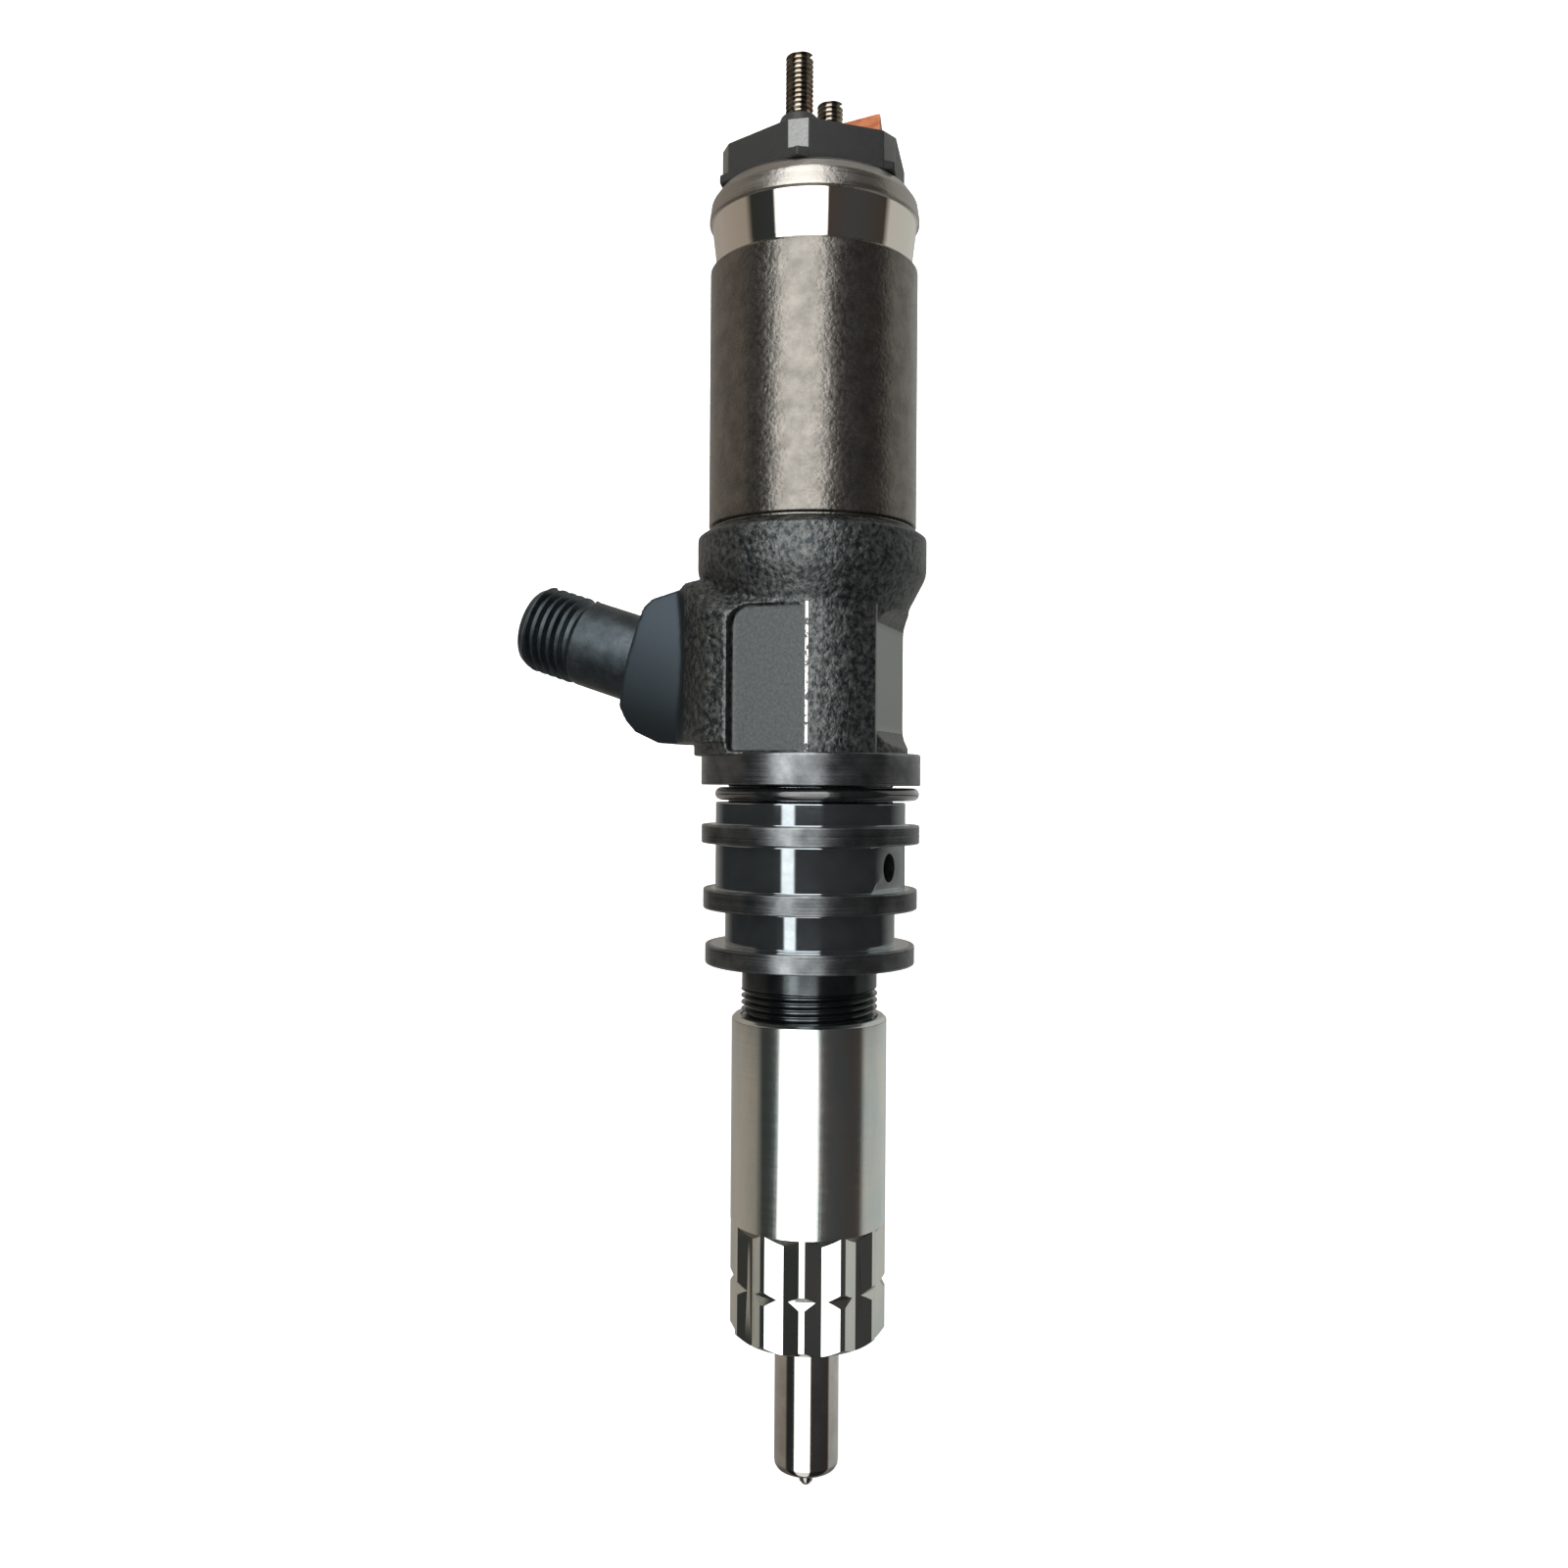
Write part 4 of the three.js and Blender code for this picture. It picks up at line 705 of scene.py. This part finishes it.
def black_oxide_inlet():
    """Satin blue-black oxide on the turned connector, with oil-dark variation."""
    m, tree, shader, coords = start("black oxide inlet", 0.9, 0.34, "#31383b")
    cloud = grain(tree, coords, 2.5, 4)
    fine = grain(tree, coords, 0.3, 2)
    tree.links.new(mixed(tree, ramp(tree, cloud, 0.3, 0.7, 0, 1), "#363d41", "#4f575b"), shader.inputs["Base Color"])
    tree.links.new(ramp(tree, fine, 0.3, 0.7, 0.26, 0.44), shader.inputs["Roughness"])
    bump(tree, shader, fine, 0.01, 0.4)
    return m


def phosphated_steel():
    """Grit-blasted, phosphated steel: warm grey crystals that sparkle where the light strikes."""
    m, tree, shader, coords = start("phosphated steel", 0.95, 0.36, "#68635c")
    crystal = grain(tree, coords, 0.6, 2)
    patch = grain(tree, coords, 2.5, 4)
    tree.links.new(mixed(tree, ramp(tree, patch, 0.35, 0.68, 0, 1), "#65625d", "#7b7771"), shader.inputs["Base Color"])
    tree.links.new(ramp(tree, crystal, 0.3, 0.72, 0.22, 0.33), shader.inputs["Roughness"])
    fine = bump(tree, shader, crystal, 0.07, 0.9)
    bump(tree, shader, patch, 0.1, 0.2, fine)
    return m


def nickel_ring():
    """Nickel: a mirror-polished band below, and a brushed shoulder above it."""
    m, tree, shader, coords = start("nickel plate", 1.0, 0.1, "#cfc5b8")
    shoulder = height_mask(tree, coords, BAND_FOOT + 6.7, 0.15)
    lines = turning_lines(tree, coords, 0.2)
    tree.links.new(mixed(tree, shoulder, "#ddd8ce", "#a19d97"), shader.inputs["Base Color"])
    tree.links.new(mixed(tree, shoulder, 0.04, ramp(tree, lines, 0.3, 0.7, 0.28, 0.4)), shader.inputs["Roughness"])
    bump(tree, shader, grain(tree, coords, 0.8, 3), 0.06, mixed(tree, shoulder, 0.01, 0.9))
    return m


def zinc_plate():
    """Bright zinc over fine turning, faintly blue-green where its passivation is thin."""
    m, tree, shader, coords = start("bright zinc plate", 1.0, 0.2, "#b4b8b5")
    lines = turning_lines(tree, coords, 0.4)
    speck = grain(tree, coords, 0.5, 2)
    cloud = grain(tree, coords, 5, 3, (1, 1, 0.35))
    tree.links.new(mixed(tree, ramp(tree, cloud, 0.35, 0.65, 0, 1), "#c6d0cd", "#d8d7d0"), shader.inputs["Base Color"])
    drive = height_mask(tree, coords, 16, 1)
    brushed = ramp(tree, lines, 0.3, 0.7, 0.15, 0.2)
    tree.links.new(mixed(tree, drive, 0.13, brushed), shader.inputs["Roughness"])
    fine = bump(tree, shader, lines, 0.003, 0.35)
    bump(tree, shader, speck, 0.004, 0.5, fine)
    return m


def ground_steel(name="ground steel", code="#d3d1cd", roughness=0.08):
    """Hardened steel ground round: clean, bright, with hair-fine grinding rings."""
    m, tree, shader, coords = start(name, 1.0, roughness, code)
    lines = turning_lines(tree, coords, 0.3)
    tree.links.new(ramp(tree, lines, 0.3, 0.7, roughness * 0.8, roughness * 1.3), shader.inputs["Roughness"])
    pale = ramp(tree, grain(tree, coords, 5, 3), 0.3, 0.75, 0, 1)
    tree.links.new(mixed(tree, pale, code, "#b4b1ab"), shader.inputs["Base Color"])
    bump(tree, shader, lines, 0.0015, 0.5)
    return m


def plain_steel():
    """Machined steel left as it is cut: greyer and rougher than ground steel."""
    return ground_steel("machined steel", "#8f908f", 0.32)


def spring_wire():
    """Oil-tempered drawn wire: blue-grey with a dull shine."""
    return ground_steel("spring wire", "#6f7377", 0.36)


def soft_iron():
    """Pressed iron powder: dark, even and finely granular."""
    m, tree, shader, coords = start("pressed soft iron", 0.7, 0.6, "#55585a")
    specks = grain(tree, coords, 0.2, 2)
    tree.links.new(mixed(tree, ramp(tree, specks, 0.3, 0.7, 0, 1), "#4a4c4e", "#66696b"), shader.inputs["Base Color"])
    bump(tree, shader, specks, 0.03, 0.6)
    return m


def plated_stud():
    """Nickel-plated cold-rolled thread, with random patches of brown tarnish."""
    m, tree, shader, coords = start("plated stud", 1.0, 0.24, "#aaa59b")
    tarnish = grain(tree, coords, 1.2, 3)
    tree.links.new(mixed(tree, ramp(tree, tarnish, 0.35, 0.7, 0, 1), "#857a6c", "#aca79e"), shader.inputs["Base Color"])
    tree.links.new(ramp(tree, tarnish, 0.3, 0.7, 0.12, 0.24), shader.inputs["Roughness"])
    bump(tree, shader, grain(tree, coords, 0.15, 2), 0.01, 0.4)
    return m


def black_resin():
    """Glass-filled nylon, moulded matte: soft grey sheen and a fine leathery grain."""
    m, tree, shader, coords = start("black moulded nylon", 0.0, 0.5, "#2b2c2b")
    fine = grain(tree, coords, 0.3, 3)
    cloud = grain(tree, coords, 4, 3)
    tree.links.new(mixed(tree, ramp(tree, cloud, 0.3, 0.7, 0, 1), "#222323", "#333433"), shader.inputs["Base Color"])
    tree.links.new(ramp(tree, fine, 0.3, 0.7, 0.42, 0.6), shader.inputs["Roughness"])
    bump(tree, shader, fine, 0.04, 0.5)
    return m


def facet_sheen_resin():
    """The same nylon on the cap, its cut corner facets painted pale, metal-like and smooth as a painted reflection of
    the light they catch.
    """
    m, tree, shader, coords = start("black moulded nylon, painted facet sheen", 0.0, 0.5, "#2b2c2b")
    fine = grain(tree, coords, 0.3, 3)
    flats = []
    for i in range(3):
        angle = math.radians(-82 + 60 * i)
        axis = (math.cos(angle), math.sin(angle), 0)
        across = add(tree, "ShaderNodeVectorMath", {0: coords, 1: axis}, operation="DOT_PRODUCT").outputs["Value"]
        flats.append(math_node(tree, "COMPARE", math_node(tree, "ABSOLUTE", across), 14.0 * MM, 0.03 * MM))
    cut = math_node(tree, "MAXIMUM", math_node(tree, "MAXIMUM", flats[0], flats[1]), flats[2])
    # Painted reflection: the cut corner facets are coloured pale here and made metal-like and smooth below.
    pale = mixed(tree, ramp(tree, fine, 0.3, 0.7, 0, 1), "#5f605f", "#717271")
    tree.links.new(mixed(tree, cut, mixed(tree, fine, "#1f2020", "#323332"), pale), shader.inputs["Base Color"])
    tree.links.new(mixed(tree, cut, 0.0, 0.9), shader.inputs["Metallic"])
    tree.links.new(mixed(tree, cut, ramp(tree, fine, 0.3, 0.7, 0.42, 0.6), 0.25), shader.inputs["Roughness"])
    bump(tree, shader, fine, 0.04, mixed(tree, cut, 0.5, 0.1))
    return m


def terracotta_resin():
    """Filled epoxy resin, cast: earthy orange with paler streaks and a satin skin."""
    m, tree, shader, coords = start("cast terracotta epoxy", 0.0, 0.4, "#b5653c")
    streak = grain(tree, coords, 2.2, 4, (1, 1, 2.5))
    tree.links.new(mixed(tree, ramp(tree, streak, 0.35, 0.68, 0, 1), "#a85a34", "#cd8258"), shader.inputs["Base Color"])
    tree.links.new(ramp(tree, streak, 0.3, 0.7, 0.34, 0.5), shader.inputs["Roughness"])
    bump(tree, shader, grain(tree, coords, 0.5, 3), 0.04, 0.5)
    return m


def fluoro_rubber():
    """Oiled fluorocarbon rubber: deep black with a wet gloss."""
    m, tree, shader, coords = start("fluorocarbon rubber", 0.0, 0.22, "#0d0e0f", IOR=1.6,
                                    Coat_Weight=1.0, Coat_Roughness=0.04, Coat_IOR=1.6)
    film = grain(tree, coords, 1.5, 3)
    tree.links.new(ramp(tree, film, 0.3, 0.7, 0.14, 0.32), shader.inputs["Roughness"])
    tree.links.new(mixed(tree, film, "#0a0b0c", "#17191a"), shader.inputs["Base Color"])
    bump(tree, shader, film, 0.02, 0.4)
    return m


def copper(name, pitch_mm):
    """Copper, drawn or annealed: warm orange with lines a wire's width apart."""
    m, tree, shader, coords = start(name, 1.0, 0.28, "#c9784a")
    lines = turning_lines(tree, coords, pitch_mm)
    tree.links.new(mixed(tree, ramp(tree, lines, 0.35, 0.65, 0, 1), "#a9582f", "#d98c5c"), shader.inputs["Base Color"])
    bump(tree, shader, lines, 0.05, 0.8)
    return m


# ---- The object ----

forging = black_oxide_forging()
turned_oxide = black_oxide_turned()
inlet_oxide = black_oxide_inlet()
steel = ground_steel()
machined = plain_steel()
wire = spring_wire()
iron = soft_iron()
phosphate = phosphated_steel()
nickel = nickel_ring()
stud_plate = plated_stud()
nylon = black_resin()
facet_sheen_nylon = facet_sheen_resin()
epoxy = terracotta_resin()
zinc = zinc_plate()
rubber = fluoro_rubber()
winding = copper("enamelled copper wire", 0.3)
gasket = copper("annealed copper", 1.2)

show(machined_body(), "injector_body", turned_oxide)
show(forged_body(), "injector_body", forging)
show(inlet_connector(), "inlet_connector", inlet_oxide)
show(nozzle_nut(), "nozzle_nut", zinc)
show(nozzle_body(), "nozzle_body", steel)
show(solenoid_housing(), "solenoid_housing", phosphate)
show(retaining_ring(), "retaining_ring", nickel)
show(solenoid_cap(), "solenoid_cap", facet_sheen_nylon)
show(resin_block(), "resin_block", epoxy)
show(body_seal(), "body_seal", rubber)
for end, y in (("front", -STUD_Y), ("rear", STUD_Y)):
    stud = terminal_stud(y)
    stud.name = "stud_" + end
    show(stud, "terminal_stud_" + end, stud_plate)
    collar = stud_collar(y)
    collar.name = "collar_" + end
    show(collar, "stud_collar_" + end, nylon)

SPRINGS = {"needle_spring": (0.7, 7), "valve_spring": (0.45, 6)}  # wire radius and turns
for joint in frame["record"]["behaviour"]["joints"]:
    for node in joint.get("deforming_nodes", []):
        spring = coil_spring(node["node"] + "_wire", node["node"], *SPRINGS[node["node"]])
        show(spring, node["node"], wire)
        shorten(spring)

INNER_FINISHES = {
    "ground_steel": steel, "plain_steel": machined, "spring_steel": wire, "soft_iron": iron,
    "black_resin": nylon, "copper_wire": winding, "copper_gasket": gasket, "seal_rubber": rubber}
for part in frame["record"]["subparts"]:
    if part["material_slot"] in INNER_FINISHES:
        obj = frame["nodes"][part["node"]]
        obj.material_slots[0].material = INNER_FINISHES[part["material_slot"]]


# ---- Studio ----

def studio_floor():
    """A pale sheet that runs under the injector and sweeps up far behind it on every side."""
    level = cad_box[0].z / MM - 0.2
    sweep = [(0, level), (700, level), (900, level + 40), (1050, level + 180), (1120, level + 420),
             (1150, level + 1500), (0, level + 1500), (0, level + 1505), (1160, level + 1505), (1160, level - 5), (0, level - 5)]
    floor = turned("studio_floor", sweep, 64, True)
    paper = bpy.data.materials.new("white paper")
    paper.use_nodes = True
    shader = paper.node_tree.nodes["Principled BSDF"]
    shader.inputs["Base Color"].default_value = linear("#c4c4c4")
    shader.inputs["Roughness"].default_value = 0.9
    shader.inputs["Emission Color"].default_value = linear("#ffffff")
    shader.inputs["Emission Strength"].default_value = 0.82
    floor.data.materials.append(paper)
    floor.visible_glossy = False
    floor.visible_diffuse = False
    floor.visible_shadow = False


studio_floor()
CAMERA_TURN = math.radians(19)
CAMERA_DISTANCE = 0.206
CAMERA_HEIGHT = 0.0816
CAMERA_ASIDE = 0.004  # the injector stands this far to the right of the view's middle
CAMERA_ROLL = math.radians(0.4)


def camera():
    data = bpy.data.cameras.new("camera")
    data.lens = 31.5
    data.sensor_width = 36
    data.clip_start = 0.01
    data.clip_end = 20
    eye = bpy.data.objects.new("camera", data)
    bpy.context.scene.collection.objects.link(eye)
    back = Vector((math.sin(CAMERA_TURN), -math.cos(CAMERA_TURN), 0))
    right = Vector((math.cos(CAMERA_TURN), math.sin(CAMERA_TURN), 0))
    place = back * CAMERA_DISTANCE - right * CAMERA_ASIDE + Vector((0, 0, CAMERA_HEIGHT))
    turn = Matrix.Rotation(CAMERA_TURN, 4, "Z") @ Matrix.Rotation(math.pi / 2, 4, "X")
    eye.matrix_world = Matrix.Translation(place) @ turn @ Matrix.Rotation(CAMERA_ROLL, 4, "Z")
    bpy.context.scene.camera = eye


# Brightness and tint of the room round the injector, by the angle in degrees to the right of the
# camera's side: pale walls at the sides and back, a tall window in front and dark gaps beside it.
ROOM = ((-180, 0.34, "#fff6ec"), (-130, 0.42, "#fff4e8"), (-82, 0.36, "#fff0e0"), (-74, 0.045, "#dfe6df"),
        (-46, 0.05, "#e2f0f2"), (-42, 3.4, "#ffffff"), (11, 3.4, "#ffffff"), (14, 0.07, "#ffe4dc"),
        (40, 0.075, "#e8ecf2"), (82, 0.06, "#ffe8dc"), (90, 0.6, "#fdfbf6"), (150, 0.62, "#f8faf6"), (180, 0.34, "#fff6ec"))
# Level with the injector the window is only seen through a narrow gap.
LEVEL_ROOM = ((-180, 0.35, "#fffaf4"), (-150, 0.3, "#fff6ee"), (-128, 0.045, "#eef2ee"), (-80, 0.03, "#dfe6df"),
              (-36, 0.04, "#e2f0f2"), (-34, 3.2, "#ffffff"), (-21, 3.2, "#ffffff"), (-19, 0.05, "#ffffff"),
              (60, 0.03, "#f4f0ee"), (110, 0.045, "#f4f0ee"), (132, 0.3, "#fdfbf6"), (150, 0.35, "#f8faf6"), (180, 0.35, "#fffaf4"))


def room_ramp(tree, turn, stops):
    node = add(tree, "ShaderNodeValToRGB", {"Fac": turn})
    while len(node.color_ramp.elements) < len(stops):
        node.color_ramp.elements.new(0.5)
    for element, (degrees, level, code) in zip(node.color_ramp.elements, stops):
        element.position = (degrees + 180) / 360
        element.color = [level * v for v in linear(code)[:3]] + [1]
    return node.outputs["Color"]


def surroundings():
    """The room that the metal mirrors, as bands of light that stand upright round the injector."""
    world = bpy.data.worlds.new("studio")
    bpy.context.scene.world = world
    world.use_nodes = True
    tree = world.node_tree
    direction = add(tree, "ShaderNodeTexCoord").outputs["Generated"]
    sides = []
    for angle in (CAMERA_TURN + math.pi / 2, CAMERA_TURN):
        axis = (math.sin(angle), -math.cos(angle), 0)
        sides.append(add(tree, "ShaderNodeVectorMath", {0: direction, 1: axis}, operation="DOT_PRODUCT").outputs["Value"])
    angle = add(tree, "ShaderNodeMath", {0: sides[0], 1: sides[1]}, operation="ARCTAN2").outputs[0]
    turn = add(tree, "ShaderNodeMapRange", {"Value": angle, "From Min": -math.pi, "From Max": math.pi}).outputs["Result"]
    height = add(tree, "ShaderNodeSeparateXYZ", {0: direction}).outputs["Z"]
    above = add(tree, "ShaderNodeMapRange", {"Value": height, "From Min": 0.0, "From Max": 0.02}).outputs["Result"]
    below = add(tree, "ShaderNodeMapRange", {"Value": height, "From Min": -0.145, "From Max": -0.165}).outputs["Result"]
    away = math_node(tree, "MAXIMUM", above, below)
    under = add(tree, "ShaderNodeMapRange", {
        "Value": height, "From Min": -0.35, "From Max": -0.6, "To Min": 1.0, "To Max": 0.35}).outputs["Result"]
    colour = mixed(tree, away, room_ramp(tree, turn, LEVEL_ROOM), room_ramp(tree, turn, ROOM))
    tree.links.new(colour, tree.nodes["Background"].inputs["Color"])
    tree.links.new(under, tree.nodes["Background"].inputs["Strength"])


camera()
surroundings()
bpy.context.scene.view_settings.view_transform = "Standard"
